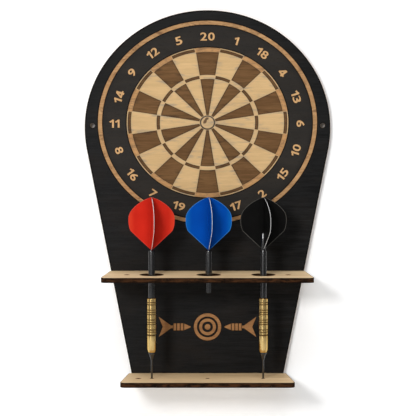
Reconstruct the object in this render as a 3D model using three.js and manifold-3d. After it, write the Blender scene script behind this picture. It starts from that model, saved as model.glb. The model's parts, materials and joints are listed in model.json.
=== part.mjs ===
// Wall-hung dart holder. A laser-cut plywood back panel carries an engraved dart face, and two
// plywood shelves stand out of it. Darts drop through the round holes of the upper shelf and stand
// with their tips in the small holes of the lower one.
//
// Units are millimetres. +Z is up, the front faces -Y, and y = 0 is the back face of the panel, which
// lies on the wall. The origin is half way between the two wall-screw holes.
import * as THREE from "three";
import { mergeVertices } from "three/addons/utils/BufferGeometryUtils.js";
import Module from "manifold-3d";

const wasm = await Module();
wasm.setup();

// ---------------------------------------------------------------- driving dimensions

const plyThickness = 4;
const glueGap = 0.2; // between two plywood pieces that are glued together
const slotGap = 0.3; // around a piece that slides into a slot, screws into a bore or stands in a hole

// Back panel: an arch on two tapered sides.
const archHalfWidth = 99.8;
const archRise = 95.5;
const archCentreZ = -2.1;
const sideTaper = 0.195; // sideways per unit of height
const panelBottomZ = -212;
const screwHoleX = 93.6;
const screwHoleRadius = 2;

// Engraved face. It is a little wider than it is tall, so every radius is its half width.
const faceCentreZ = 2.4;
const faceHeightShare = 0.928;
const engravingDepth = 0.4;
const borderRingOuter = 89;
const borderRingInner = 85.5;
const faceRadius = 65.7;

// Shelves.
const shelfDepth = 50;
const shelfFlare = 6; // how much wider the front is than the back, on each side
const upperShelfProud = 0.8; // how far the back corners stand past the panel's sides
const lowerShelfProud = 2.2;
const shelfCornerRadius = 5;
const upperShelfTopZ = -118.8;
const lowerShelfTopZ = -203.2;
const tabWidth = 24;
const upperTabX = 48;
const lowerTabX = 36;

// Dart places and holes.
const dartSpacing = 45;
const middleDartX = 1; // the middle dart and its hole stand a little off the middle
const dartDepth = 27.3; // from the front of the panel to the darts' axes
const dartHoleRadius = 9.5;
const tipHoleRadius = 1.25;
const tipHoleDepth = 2.5; // a tip stands in a blind hole
const smallHoleRadius = 1.3;
const upperSmallHoleX = 65;
const lowerSmallHoleX = -56;

// Darts, from the top of the flight down. Heights are in the panel's frame.
const flightTopZ = -56.2;
const flightLength = 43;
const flightHalfWidth = 18.7;
const flightWidestAt = 17; // below the top
const flightCornerHalfWidth = 17.4;
const flightCornerAt = 26; // below the top
const filmThickness = 0.3;
const prongLength = 14.3; // how far the stem's prongs reach up the flight
const stemRadius = 2.5;
const stemTopRadius = 2.1;
const barrelTopZ = -138;
const barrelLength = 43.8;
const barrelRadius = 3.7;
const gripDepth = 0.35;
const barrelNoseLength = 2.2;
const barrelNoseRadius = 2.95;
const boreDepth = 8;
const spigotRadius = 2.3; // the threaded end of a stem or a tip, over its crests
const spigotLength = 6.5;
const shoulderGap = 0.2; // between a barrel's end and the shoulder screwed up to it
const bareStemEndZ = -133.6; // the end of the stem that has no barrel, spigot included
const tipConeLength = 6.3;
const tipPinRadius = 0.85;
const tipPinEndRadius = 0.5;
const dartTurnDegrees = 2.5; // about the dart's own axis
const redSkewDegrees = 5; // how far the front and back wings lean round past square
const blueSkewDegrees = 6;
const blackSkewDegrees = 14.5;

const archSegments = 72;
const ringSegments = 72;
const holeSegments = 24;
const turnedSegments = 20; // around a turned piece

// ---------------------------------------------------------------- colours and finishes

const blackStain = finish(0x1f1e1d, 0.75, 0);
const birch = finish(0xcaa56f, 0.7, 0);
const brass = finish(0xc79a3e, 0.3, 1);
const blackNylon = finish(0x17181a, 0.45, 0);
const redFilm = finish(0xd42a1c, 0.45, 0);
const blueFilm = finish(0x0a49b0, 0.45, 0);
const blackFilm = finish(0x171716, 0.45, 0);

function finish(color, roughness, metalness) {
  return new THREE.MeshStandardMaterial({ color, roughness, metalness });
}

// ---------------------------------------------------------------- solids

// A closed geometry as a manifold-3d solid.
function solidOf(geometry) {
  const bare = geometry.index ? geometry.toNonIndexed() : geometry.clone();
  bare.deleteAttribute("normal");
  bare.deleteAttribute("uv");
  const merged = mergeVertices(bare, 1e-4);
  return new wasm.Manifold(
    new wasm.Mesh({
      numProp: 3,
      vertProperties: merged.attributes.position.array,
      triVerts: new Uint32Array(merged.index.array),
    }),
  );
}

// A manifold-3d solid as a geometry.
function geometryOf(solid) {
  const { vertProperties, triVerts } = solid.getMesh();
  const geometry = new THREE.BufferGeometry();
  geometry.setAttribute("position", new THREE.BufferAttribute(vertProperties, 3));
  geometry.setIndex(new THREE.BufferAttribute(triVerts, 1));
  return geometry;
}

function mesh(name, geometry, material) {
  const made = new THREE.Mesh(geometry, material);
  made.name = name;
  return made;
}

// A shape drawn in X and Z, from y = backY forward by depth.
function upright(shape, backY, depth, curveSegments) {
  return new THREE.ExtrudeGeometry(shape, { depth, curveSegments, bevelEnabled: false })
    .rotateX(Math.PI / 2)
    .translate(0, backY, 0);
}

// A shape drawn in X and Y, from z = bottomZ up by height.
function level(shape, bottomZ, height, curveSegments) {
  return new THREE.ExtrudeGeometry(shape, { depth: height, curveSegments, bevelEnabled: false })
    .translate(0, 0, bottomZ);
}

// A turned piece about Z, from a profile of [radius, height] that runs upwards and starts and ends
// on the axis.
function turned(profile) {
  const points = profile.map(([radius, z]) => new THREE.Vector2(radius, z));
  return new THREE.LatheGeometry(points, turnedSegments).rotateX(Math.PI / 2);
}

function circle(x, y, radius) {
  return new THREE.Path().absarc(x, y, radius, 0, 2 * Math.PI, true);
}

function rectangle(x, y, width, height) {
  const path = new THREE.Path();
  path.moveTo(x - width / 2, y - height / 2);
  path.lineTo(x - width / 2, y + height / 2);
  path.lineTo(x + width / 2, y + height / 2);
  path.lineTo(x + width / 2, y - height / 2);
  path.closePath();
  return path;
}

// ---------------------------------------------------------------- back panel

// The angle below level at which the arch runs into the tapered sides.
const tangentAngle = Math.atan((sideTaper * archRise) / archHalfWidth);
const tangentX = archHalfWidth * Math.cos(tangentAngle);
const tangentZ = archCentreZ - archRise * Math.sin(tangentAngle);

// Half the panel's width at a height on its tapered part.
function panelHalfWidth(z) {
  return tangentX - sideTaper * (tangentZ - z);
}

function faceEllipse(halfWidth) {
  const shape = new THREE.Shape();
  shape.absellipse(0, faceCentreZ, halfWidth, halfWidth * faceHeightShare, 0, 2 * Math.PI);
  return shape;
}

// Material taken out of the front, to the depth of the engraving.
function engraving(shape) {
  const overshoot = 1;
  return solidOf(
    upright(shape, -plyThickness + engravingDepth, engravingDepth + overshoot, ringSegments),
  );
}

function backPanel() {
  const outline = new THREE.Shape();
  const bottomHalfWidth = panelHalfWidth(panelBottomZ);
  outline.moveTo(-bottomHalfWidth, panelBottomZ);
  outline.lineTo(bottomHalfWidth, panelBottomZ);
  outline.lineTo(tangentX, tangentZ);
  outline.absellipse(
    0, archCentreZ, archHalfWidth, archRise, -tangentAngle, Math.PI + tangentAngle, false,
  );
  outline.closePath();
  const sheet = solidOf(upright(outline, 0, plyThickness, archSegments));

  const throughCut = (path) => {
    const shape = new THREE.Shape(path.getPoints(holeSegments).reverse());
    return solidOf(upright(shape, 1, plyThickness + 2, holeSegments));
  };
  const slotHeight = plyThickness + 2 * slotGap;
  const slots = [
    [upperTabX, upperShelfTopZ],
    [lowerTabX, lowerShelfTopZ],
  ].flatMap(([x, topZ]) =>
    [-x, x].map((slotX) =>
      rectangle(slotX, topZ - plyThickness / 2, tabWidth + 2 * slotGap, slotHeight)),
  );
  const screwHoles = [-screwHoleX, screwHoleX].map((x) => circle(x, 0, screwHoleRadius));
  const borderRing = engraving(faceEllipse(borderRingOuter))
    .subtract(engraving(faceEllipse(borderRingInner)));

  const cut = [...slots, ...screwHoles]
    .map(throughCut)
    .concat(borderRing, engraving(faceEllipse(faceRadius)))
    .reduce((panel, tool) => panel.subtract(tool), sheet);
  return mesh("back_panel", geometryOf(cut), blackStain);
}

// ---------------------------------------------------------------- shelves

const dartXs = [-dartSpacing, middleDartX, dartSpacing];
const tipHoleXs = [-dartSpacing, 0, dartSpacing];

// A shelf lies against the panel, flares towards the front and has a tab at each side of the middle.
function shelf(topZ, proud, tabX, holes) {
  const backY = -plyThickness - glueGap;
  const frontY = -plyThickness - shelfDepth;
  const backHalf = panelHalfWidth(topZ) + proud;
  const frontHalf = backHalf + shelfFlare;
  const cornerInset = (shelfCornerRadius * shelfFlare) / shelfDepth;
  const plan = new THREE.Shape();
  plan.moveTo(-backHalf, backY);
  plan.lineTo(-frontHalf + cornerInset, frontY + shelfCornerRadius);
  plan.quadraticCurveTo(-frontHalf, frontY, -frontHalf + shelfCornerRadius, frontY);
  plan.lineTo(frontHalf - shelfCornerRadius, frontY);
  plan.quadraticCurveTo(frontHalf, frontY, frontHalf - cornerInset, frontY + shelfCornerRadius);
  plan.lineTo(backHalf, backY);
  for (const x of [tabX, -tabX]) {
    plan.lineTo(x + tabWidth / 2, backY);
    plan.lineTo(x + tabWidth / 2, 0);
    plan.lineTo(x - tabWidth / 2, 0);
    plan.lineTo(x - tabWidth / 2, backY);
  }
  plan.closePath();
  plan.holes = holes.map(([x, radius]) => circle(x, -plyThickness - dartDepth, radius));
  return level(plan, topZ - plyThickness, plyThickness, holeSegments);
}

function upperShelf() {
  const holes = [
    ...dartXs.map((x) => [x, dartHoleRadius]),
    [-upperSmallHoleX, smallHoleRadius],
    [upperSmallHoleX, smallHoleRadius],
  ];
  return mesh("upper_shelf", shelf(upperShelfTopZ, upperShelfProud, upperTabX, holes), birch);
}

function lowerShelf() {
  const smallHoles = [[lowerSmallHoleX, smallHoleRadius]];
  const board = solidOf(shelf(lowerShelfTopZ, lowerShelfProud, lowerTabX, smallHoles));
  const overshoot = 1;
  const drill = new THREE.CylinderGeometry(tipHoleRadius, tipHoleRadius, tipHoleDepth + overshoot, 16)
    .rotateX(Math.PI / 2)
    .translate(0, -plyThickness - dartDepth, lowerShelfTopZ + (overshoot - tipHoleDepth) / 2);
  const drilled = tipHoleXs
    .map((x) => solidOf(drill.clone().translate(x, 0, 0)))
    .reduce((shelfSoFar, tool) => shelfSoFar.subtract(tool), board);
  return mesh("lower_shelf", geometryOf(drilled), birch);
}

// ---------------------------------------------------------------- darts

const flightBottomZ = flightTopZ - flightLength;

// Two crossed sheets of film, which make four wings. The second sheet leans round by the skew.
function flight(skew) {
  const widestZ = flightTopZ - flightWidestAt;
  const cornerZ = flightTopZ - flightCornerAt;
  const outline = new THREE.Shape();
  outline.moveTo(0, flightTopZ);
  outline.bezierCurveTo(
    0.45 * flightHalfWidth, flightTopZ - 1.2,
    flightHalfWidth, flightTopZ - 7,
    flightHalfWidth, widestZ,
  );
  outline.quadraticCurveTo(flightHalfWidth, cornerZ + 3, flightCornerHalfWidth, cornerZ);
  outline.lineTo(0, flightBottomZ);
  outline.lineTo(-flightCornerHalfWidth, cornerZ);
  outline.quadraticCurveTo(-flightHalfWidth, cornerZ + 3, -flightHalfWidth, widestZ);
  outline.bezierCurveTo(
    -flightHalfWidth, flightTopZ - 7,
    -0.45 * flightHalfWidth, flightTopZ - 1.2,
    0, flightTopZ,
  );
  const sheet = upright(outline, filmThickness / 2, filmThickness, 8);
  const crossed = sheet.clone().rotateZ(Math.PI / 2 + skew);
  return geometryOf(solidOf(sheet).add(solidOf(crossed)));
}

// The cross cut that the flight's wings slide into.
function prongSlots(topZ, skew) {
  const overshoot = 1;
  const floorZ = flightBottomZ - slotGap;
  const width = filmThickness + 2 * slotGap;
  const length = 4 * stemRadius;
  const height = topZ + overshoot - floorZ;
  const cut = new THREE.BoxGeometry(length, width, height)
    .translate(0, 0, floorZ + height / 2);
  return solidOf(cut).add(solidOf(cut.clone().rotateZ(Math.PI / 2 + skew)));
}

// A stem has four prongs at the top and a threaded spigot below its shoulder.
function stem(endZ, skew) {
  const shoulderZ = endZ + spigotLength;
  const topZ = flightBottomZ + prongLength;
  const profile = [
    [0, endZ],
    [spigotRadius, endZ],
    [spigotRadius, shoulderZ],
    [stemRadius, shoulderZ],
    [stemRadius, flightBottomZ],
    [stemTopRadius, topZ],
    [0, topZ],
  ];
  return geometryOf(solidOf(turned(profile)).subtract(prongSlots(topZ, skew)));
}

const barrelBottomZ = barrelTopZ - barrelLength;

// Waists of the grip, each as [middle, length], measured down from the barrel's top.
const gripWaists = [
  [4.8, 2.6],
  [11.2, 4.4],
  [19.2, 4.4],
  [26, 2.6],
  [29.6, 0.9],
];

function barrel() {
  const boreRadius = spigotRadius + slotGap;
  const waists = gripWaists.flatMap(([middle, length]) => {
    const z = barrelTopZ - middle;
    return [
      [barrelRadius, z + length / 2],
      [barrelRadius - gripDepth, z + length / 4],
      [barrelRadius - gripDepth, z - length / 4],
      [barrelRadius, z - length / 2],
    ];
  });
  const profile = [
    [0, barrelBottomZ + boreDepth],
    [boreRadius, barrelBottomZ + boreDepth],
    [boreRadius, barrelBottomZ],
    [barrelNoseRadius, barrelBottomZ],
    [barrelRadius, barrelBottomZ + barrelNoseLength],
    ...waists.reverse(),
    [barrelRadius, barrelTopZ],
    [boreRadius, barrelTopZ],
    [boreRadius, barrelTopZ - boreDepth],
    [0, barrelTopZ - boreDepth],
  ];
  return turned(profile);
}

function tip() {
  const shoulderZ = barrelBottomZ - shoulderGap;
  const coneEndZ = shoulderZ - tipConeLength;
  const pinEndZ = lowerShelfTopZ - tipHoleDepth + slotGap;
  const pointLength = 1.5;
  const profile = [
    [0, pinEndZ],
    [tipPinEndRadius, pinEndZ],
    [tipPinRadius, pinEndZ + pointLength],
    [tipPinRadius, coneEndZ],
    [barrelNoseRadius - 0.2, shoulderZ],
    [spigotRadius, shoulderZ],
    [spigotRadius, shoulderZ + spigotLength],
    [0, shoulderZ + spigotLength],
  ];
  return turned(profile);
}

// A dart stands upright. Its side wings lie nearly along X, and its front wing leans towards +X by the
// turn and the skew together.
function dart(name, x, skewDegrees, film, hasBarrel) {
  const group = new THREE.Group();
  group.position.set(x, -plyThickness - dartDepth, 0);
  group.rotation.z = THREE.MathUtils.degToRad(dartTurnDegrees);
  const skew = THREE.MathUtils.degToRad(skewDegrees);
  const stemEndZ = hasBarrel ? barrelTopZ + shoulderGap - spigotLength : bareStemEndZ;
  group.add(
    mesh(`${name}_flight`, flight(skew), film),
    mesh(`${name}_stem`, stem(stemEndZ, skew), blackNylon),
  );
  if (hasBarrel) {
    group.add(mesh(`${name}_barrel`, barrel(), brass), mesh(`${name}_tip`, tip(), blackNylon));
  }
  return group;
}

// ---------------------------------------------------------------- the whole holder

const holder = new THREE.Group();
holder.add(
  backPanel(),
  upperShelf(),
  lowerShelf(),
  dart("red", dartXs[0], redSkewDegrees, redFilm, true),
  dart("blue", dartXs[1], blueSkewDegrees, blueFilm, false),
  dart("black", dartXs[2], blackSkewDegrees, blackFilm, true),
);

export default holder;
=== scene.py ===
"""A wall-hung plywood dart holder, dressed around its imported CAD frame.

The holder has a black-stained back panel with an engraved dart face, two birch shelves, and three darts.
Every length is in metres, +Z is up and the front faces -Y, as in the frame.
"""

import json
import logging
import math
from collections.abc import Callable, Iterator, Sequence
from contextlib import contextmanager
from dataclasses import dataclass
from enum import Enum
from typing import ClassVar

import bmesh
import bpy
from mathutils import Matrix, Vector

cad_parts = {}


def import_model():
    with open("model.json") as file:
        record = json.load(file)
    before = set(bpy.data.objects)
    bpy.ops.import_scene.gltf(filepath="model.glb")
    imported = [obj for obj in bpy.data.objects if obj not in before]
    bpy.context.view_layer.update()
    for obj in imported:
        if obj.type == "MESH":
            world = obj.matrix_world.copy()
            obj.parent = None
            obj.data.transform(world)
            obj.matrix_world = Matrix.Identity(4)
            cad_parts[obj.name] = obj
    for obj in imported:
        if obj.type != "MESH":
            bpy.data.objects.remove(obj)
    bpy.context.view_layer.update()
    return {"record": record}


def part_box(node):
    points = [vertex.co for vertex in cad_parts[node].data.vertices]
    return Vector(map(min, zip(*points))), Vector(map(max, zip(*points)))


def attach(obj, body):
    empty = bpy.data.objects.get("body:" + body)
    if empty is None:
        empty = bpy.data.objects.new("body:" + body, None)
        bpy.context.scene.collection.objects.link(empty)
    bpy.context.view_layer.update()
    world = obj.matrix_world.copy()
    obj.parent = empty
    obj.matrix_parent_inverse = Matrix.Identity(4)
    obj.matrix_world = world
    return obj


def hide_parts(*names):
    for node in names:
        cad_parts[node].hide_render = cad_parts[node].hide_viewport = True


logging.basicConfig(level=logging.INFO, format="%(levelname)s %(name)s: %(message)s")
log = logging.getLogger("dart_holder")

MM = 0.001
# Places closer than NEAR count as the same one, and doubles closer than MERGE are merged.
NEAR = 0.01 * MM
MERGE = 0.001 * MM
# A face whose unit normal has more than this along an axis counts as square to that axis.
FLAT = 0.95

Piece = bpy.types.Object
Material = bpy.types.Material
Socket = bpy.types.NodeSocket
Colour = tuple[float, float, float]
Profile = Sequence[tuple[float, float]]


# ------------------------------------------------------------------------------------------- bench


def only(piece: Piece) -> None:
    """Makes a piece the active object and the only selected one."""
    bpy.ops.object.select_all(action="DESELECT")
    piece.select_set(True)
    bpy.context.view_layer.objects.active = piece


@contextmanager
def editing(piece: Piece) -> Iterator[None]:
    """Opens a piece in edit mode with nothing selected, and closes it again.

    Args:
        piece: the mesh object to open.
    """
    only(piece)
    bpy.ops.object.mode_set(mode="EDIT")
    bpy.ops.mesh.select_mode(type="VERT")
    bpy.ops.mesh.select_all(action="DESELECT")
    yield
    bpy.ops.object.mode_set(mode="OBJECT")


class Kind(Enum):
    """What a pick selects in edit mode."""

    VERT = "verts"
    EDGE = "edges"
    FACE = "faces"


def pick(piece: Piece, kind: Kind, test: Callable[..., bool]) -> None:
    """Selects the vertices, edges or faces that pass a test, and nothing else.

    Args:
        piece: a mesh object in edit mode.
        kind: which elements the test is given.
        test: says whether one element is wanted.
    """
    bpy.ops.mesh.select_mode(type=kind.name)
    bpy.ops.mesh.select_all(action="DESELECT")
    mesh = bmesh.from_edit_mesh(piece.data)
    for element in getattr(mesh, kind.value):
        if test(element):
            element.select_set(True)
    mesh.select_flush_mode()
    bmesh.update_edit_mesh(piece.data)


def select_all() -> None:
    """Selects the whole mesh in edit mode."""
    bpy.ops.mesh.select_all(action="SELECT")


def extrude(offset: Sequence[float] = (0, 0, 0)) -> None:
    """Extrudes what is selected in edit mode, and moves the new part by an offset."""
    bpy.ops.mesh.extrude_region_move(TRANSFORM_OT_translate={"value": offset})


def resize(factors: Sequence[float], centre: Sequence[float] = (0, 0, 0)) -> None:
    """Scales what is selected in edit mode about a centre."""
    bpy.ops.transform.resize(value=factors, center_override=centre)


def face_out() -> None:
    """Merges the whole mesh's doubles and turns its faces outwards, in edit mode."""
    select_all()
    bpy.ops.mesh.remove_doubles(threshold=MERGE)
    bpy.ops.mesh.normals_make_consistent(inside=False)


def edge_middle(edge: bmesh.types.BMEdge) -> Vector:
    """The point half way along an edge."""
    return (edge.verts[0].co + edge.verts[1].co) / 2


def entitle(piece: Piece, name: str) -> None:
    """Gives a piece and its mesh a name."""
    piece.name = name
    piece.data.name = name


def paint(piece: Piece, *materials: Material) -> None:
    """Adds materials to a piece's slots."""
    for material in materials:
        piece.data.materials.append(material)


def discard(piece: Piece) -> None:
    """Takes a helper out of the scene."""
    bpy.data.objects.remove(piece, do_unlink=True)


def settle(piece: Piece, name: str) -> Piece:
    """Puts a piece's place into its mesh and gives it its name.

    Args:
        piece: the object, anywhere.
        name: its final name.

    Returns:
        The same object, at the origin.
    """
    only(piece)
    bpy.ops.object.transform_apply(location=True, rotation=True, scale=True)
    entitle(piece, name)
    return piece


def outward(piece: Piece) -> None:
    """Merges a mesh's doubles and turns all its faces outwards."""
    with editing(piece):
        face_out()


def shade(piece: Piece, degrees: float = 35) -> None:
    """Shades a piece smooth, but for edges sharper than an angle."""
    only(piece)
    bpy.ops.object.shade_smooth_by_angle(angle=math.radians(degrees))


def join(pieces: Sequence[Piece]) -> Piece:
    """Joins meshes into the first one and returns it."""
    only(pieces[0])
    for piece in pieces:
        piece.select_set(True)
    bpy.ops.object.join()
    return pieces[0]


def copy_of(piece: Piece, name: str) -> Piece:
    """Returns a copy of a piece that has its own mesh."""
    made = piece.copy()
    made.data = piece.data.copy()
    entitle(made, name)
    bpy.context.collection.objects.link(made)
    return made


def apply_modifiers(piece: Piece) -> None:
    """Applies all of a piece's modifiers in order."""
    only(piece)
    for modifier in list(piece.modifiers):
        bpy.ops.object.modifier_apply(modifier=modifier.name)


def combine(piece: Piece, tool: Piece, operation: str = "DIFFERENCE", crossing: bool = False) -> None:
    """Cuts a tool out of a piece, or welds it on, and removes the tool.

    Args:
        piece: the mesh that stays.
        tool: a closed mesh. The faces it leaves keep its material.
        operation: DIFFERENCE or UNION.
        crossing: whether parts of the tool may cross each other.
    """
    modifier = piece.modifiers.new("combine", "BOOLEAN")
    modifier.operation = operation
    modifier.object = tool
    modifier.solver = "EXACT"
    modifier.use_self = crossing
    modifier.material_mode = "TRANSFER"
    apply_modifiers(piece)
    discard(tool)


def block(low: Vector, high: Vector, material: Material | None = None) -> Piece:
    """Adds a box between two corners.

    Args:
        low: its lowest corner.
        high: its highest corner.
        material: what it is made of, where a cut is to show it.

    Returns:
        The box.
    """
    bpy.ops.mesh.primitive_cube_add(size=1, location=(low + high) / 2)
    made = bpy.context.object
    made.scale = high - low
    settle(made, "block")
    if material:
        paint(made, material)
    return made


def rod(
    centre: Vector,
    radius: float,
    length: float,
    axis: str,
    material: Material | None = None,
    sides: int = 48,
) -> Piece:
    """Adds a round rod along an axis.

    Args:
        centre: its middle.
        radius: its radius.
        length: its length.
        axis: "Y" or "Z".
        material: what it is made of, where a cut is to show it.
        sides: how many sides stand for the circle.

    Returns:
        The rod.
    """
    tilt = (math.pi / 2, 0, 0) if axis == "Y" else (0, 0, 0)
    bpy.ops.mesh.primitive_cylinder_add(
        vertices=sides, radius=radius, depth=length, location=centre, rotation=tilt
    )
    made = settle(bpy.context.object, "rod")
    if material:
        paint(made, material)
    return made


def circle(radius: float, sides: int, fill: str = "NOTHING", turned: float = 0) -> Piece:
    """Adds a circle that stands upright and faces the front.

    Args:
        radius: its radius.
        sides: how many sides stand for it.
        fill: NOTHING for a wire or NGON for a disc.
        turned: how far it is turned about its own axis.

    Returns:
        The circle.
    """
    tilt = (math.pi / 2, turned, 0)
    bpy.ops.mesh.primitive_circle_add(vertices=sides, radius=radius, fill_type=fill, rotation=tilt)
    return bpy.context.object


def bar(start: tuple[float, float], end: tuple[float, float], width: float) -> Piece:
    """Adds a straight stroke of a digit, one unit thick.

    Args:
        start: where its centre line starts in the XY plane.
        end: where its centre line ends.
        width: how wide it is.

    Returns:
        The bar.
    """
    first, last = Vector((*start, 0)), Vector((*end, 0))
    along = last - first
    bpy.ops.mesh.primitive_cube_add(
        size=1, location=(first + last) / 2, rotation=(0, 0, math.atan2(along.y, along.x))
    )
    made = bpy.context.object
    made.scale = (along.length, width, 1)
    return settle(made, "bar")


def turn(name: str, profile: Profile, segments: int = 56) -> Piece:
    """Turns a profile about the Z axis, as on a lathe.

    Args:
        name: the piece's name.
        profile: radii and heights, from the lower end on the axis to the upper end on the axis.
        segments: how many steps go round.

    Returns:
        The closed turned piece.
    """
    bpy.ops.mesh.primitive_plane_add(size=MM)
    made = bpy.context.object
    entitle(made, name)
    with editing(made):
        select_all()
        bpy.ops.mesh.merge(type="CENTER")
        place = Vector((0, 0, 0))
        for radius, height in profile:
            goal = Vector((radius, 0, height))
            if place.length == 0 and radius == 0:
                bpy.ops.transform.translate(value=goal)
            else:
                extrude(goal - place)
            place = goal
        select_all()
        bpy.ops.mesh.spin(
            steps=segments, angle=math.tau, center=(0, 0, 0), axis=(0, 0, 1), use_auto_merge=True
        )
        face_out()
    return made


# -------------------------------------------------------------------------------- shader building


class Wire:
    """A value that runs through a node tree. Arithmetic with it adds Math nodes."""

    def __init__(self, recipe: "Recipe", socket: Socket) -> None:
        """Holds an output socket of a recipe's tree."""
        self.recipe = recipe
        self.socket = socket

    def __add__(self, other: object) -> "Wire":
        """Adds."""
        return self.recipe.math("ADD", self, other)

    def __sub__(self, other: object) -> "Wire":
        """Subtracts."""
        return self.recipe.math("SUBTRACT", self, other)

    def __rsub__(self, other: object) -> "Wire":
        """Subtracts this value from another."""
        return self.recipe.math("SUBTRACT", other, self)

    def __mul__(self, other: object) -> "Wire":
        """Multiplies."""
        return self.recipe.math("MULTIPLY", self, other)

    def __truediv__(self, other: object) -> "Wire":
        """Divides."""
        return self.recipe.math("DIVIDE", self, other)

    def __abs__(self) -> "Wire":
        """Drops the sign."""
        return self.recipe.math("ABSOLUTE", self)


class Recipe:
    """A node tree under construction: a material's own, or a group's."""

    def __init__(self, tree: bpy.types.NodeTree) -> None:
        """Starts on a tree whose nodes are cleared away."""
        self.tree = tree
        tree.nodes.clear()

    def plug(self, value: object, socket: Socket) -> None:
        """Connects a wire to an input socket, or sets the socket to a plain value."""
        if isinstance(value, Wire):
            self.tree.links.new(value.socket, socket)
        else:
            socket.default_value = value

    def node(self, kind: str, inputs: dict | None = None, **settings: object) -> bpy.types.Node:
        """Adds a node.

        Args:
            kind: its type, without the ShaderNode prefix.
            inputs: values or wires, by input name or number.
            **settings: attributes of the node itself.

        Returns:
            The node.
        """
        made = self.tree.nodes.new("ShaderNode" + kind)
        for key, value in settings.items():
            setattr(made, key, value)
        for key, value in (inputs or {}).items():
            self.plug(value, made.inputs[key])
        return made

    def outputs(self, node: bpy.types.Node) -> dict[str, Wire]:
        """Returns a node's outputs by name."""
        return {socket.name: Wire(self, socket) for socket in node.outputs}

    def read(self, kind: str, inputs: dict | None = None, **settings: object) -> dict[str, Wire]:
        """Adds a node, as node() does, and returns its outputs by name."""
        return self.outputs(self.node(kind, inputs, **settings))

    def first(self, kind: str, values: Sequence[object], **settings: object) -> Wire:
        """Adds a node with its inputs in order, and returns its first output."""
        return Wire(self, self.node(kind, dict(enumerate(values)), **settings).outputs[0])

    def math(self, operation: str, *values: object, clamp: bool = False) -> Wire:
        """Adds a Math node and returns its value."""
        return self.first("Math", values, operation=operation, use_clamp=clamp)

    def vector(self, operation: str, *values: object) -> Wire:
        """Adds a Vector Math node and returns its vector."""
        return self.first("VectorMath", values, operation=operation)

    def mix(self, factor: object, first: object, second: object) -> Wire:
        """Adds a colour mix.

        Args:
            factor: how much of the second colour.
            first: a colour or a wire.
            second: a colour or a wire.

        Returns:
            The mixed colour.
        """
        made = self.node("Mix", data_type="RGBA")
        sockets = {socket.identifier: socket for socket in made.inputs}
        self.plug(factor, sockets["Factor_Float"])
        for name, colour in (("A_Color", first), ("B_Color", second)):
            self.plug(colour if isinstance(colour, Wire) else (*colour, 1), sockets[name])
        return Wire(self, next(s for s in made.outputs if s.identifier == "Result_Color"))

    def noise(self, place: object, scale: float, detail: float, rough: float, warp: float = 0) -> Wire:
        """Adds a noise texture and returns its value, which stays near 0.5."""
        inputs = {"Vector": place, "Scale": scale, "Detail": detail, "Roughness": rough}
        return self.read("TexNoise", inputs | {"Distortion": warp})["Fac"]

    def streaks(self, place: object, scales: Colour, detail: float, rough: float, warp: float = 0) -> Wire:
        """Adds noise with a scale of its own along each axis, and returns its value."""
        return self.noise(self.vector("MULTIPLY", place, scales), 1.0, detail, rough, warp)

    def band(self, value: object, low: float, high: float) -> Wire:
        """Returns 0 at or below low and 1 at or above high, with a smooth step between."""
        inputs = {"Value": value, "From Min": low, "From Max": high}
        return self.read("MapRange", inputs, interpolation_type="SMOOTHSTEP")["Result"]

    def group(self, name: str, inputs: dict) -> dict[str, Wire]:
        """Places a shared effect and returns what it gives, by name."""
        return self.read("Group", inputs, node_tree=Effect.made[name])

    def bump(self, height: Wire, distance: float) -> Wire:
        """Adds a bump and returns its normal."""
        return self.read("Bump", {"Height": height, "Distance": distance, "Strength": 1.0})["Normal"]

    def hypot(self, across: Wire, up: Wire) -> Wire:
        """Returns the length of the slanting side of a right triangle."""
        return self.math("SQRT", self.math("POWER", across, 2.0) + self.math("POWER", up, 2.0))


class Effect:
    """A shader node group that several finishes share, built once."""

    made: dict[str, bpy.types.NodeTree] = {}

    def __init__(self, name: str, inputs: dict[str, tuple[str, object]], outputs: dict[str, str]) -> None:
        """Args:
            name: the group's name.
            inputs: each input's socket type and default.
            outputs: each output's socket type.
        """
        self.tree = bpy.data.node_groups.new(name, "ShaderNodeTree")
        Effect.made[name] = self.tree
        for label, (kind, value) in inputs.items():
            socket = self.tree.interface.new_socket(label, in_out="INPUT", socket_type="NodeSocket" + kind)
            if value is not None:
                socket.default_value = value
        for label, kind in outputs.items():
            self.tree.interface.new_socket(label, in_out="OUTPUT", socket_type="NodeSocket" + kind)
        self.recipe = Recipe(self.tree)
        self.given = self.recipe.outputs(self.tree.nodes.new("NodeGroupInput"))
        self.result = self.tree.nodes.new("NodeGroupOutput")

    def give(self, **values: Wire) -> None:
        """Connects the group's outputs, by name."""
        for label, value in values.items():
            self.recipe.plug(value, self.result.inputs[label])


def make_veneer_grain() -> None:
    """Builds the grain of rotary-cut birch that runs along X: fibres, broad figure, pores and relief."""
    effect = Effect(
        "veneer_grain",
        {"Place": ("Vector", None), "Figure Scale": ("Float", 1.0)},
        {"Fibre": "Float", "Figure": "Float", "Pores": "Float", "Height": "Float"},
    )
    recipe, given = effect.recipe, effect.given
    broad = recipe.vector("MULTIPLY", given["Place"], (9, 60, 60))
    scaled = recipe.node("VectorMath", {0: broad, "Scale": given["Figure Scale"]}, operation="SCALE")
    figure = recipe.noise(recipe.outputs(scaled)["Vector"], 1.0, 3, 0.55, 0.6)
    fibre = recipe.streaks(given["Place"], (90, 1600, 1600), 5, 0.62)
    streak = recipe.streaks(given["Place"], (22, 420, 420), 4, 0.6, 0.3)
    mixed = fibre * 0.5 + streak * 0.5
    pores = recipe.band(recipe.streaks(given["Place"], (330, 3400, 3400), 2, 0.5), 0.63, 0.72)
    height = mixed - pores * 0.5
    effect.give(
        Fibre=recipe.band(mixed, 0.36, 0.64),
        Figure=recipe.band(figure, 0.32, 0.68),
        Pores=pores,
        Height=height,
    )


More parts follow.
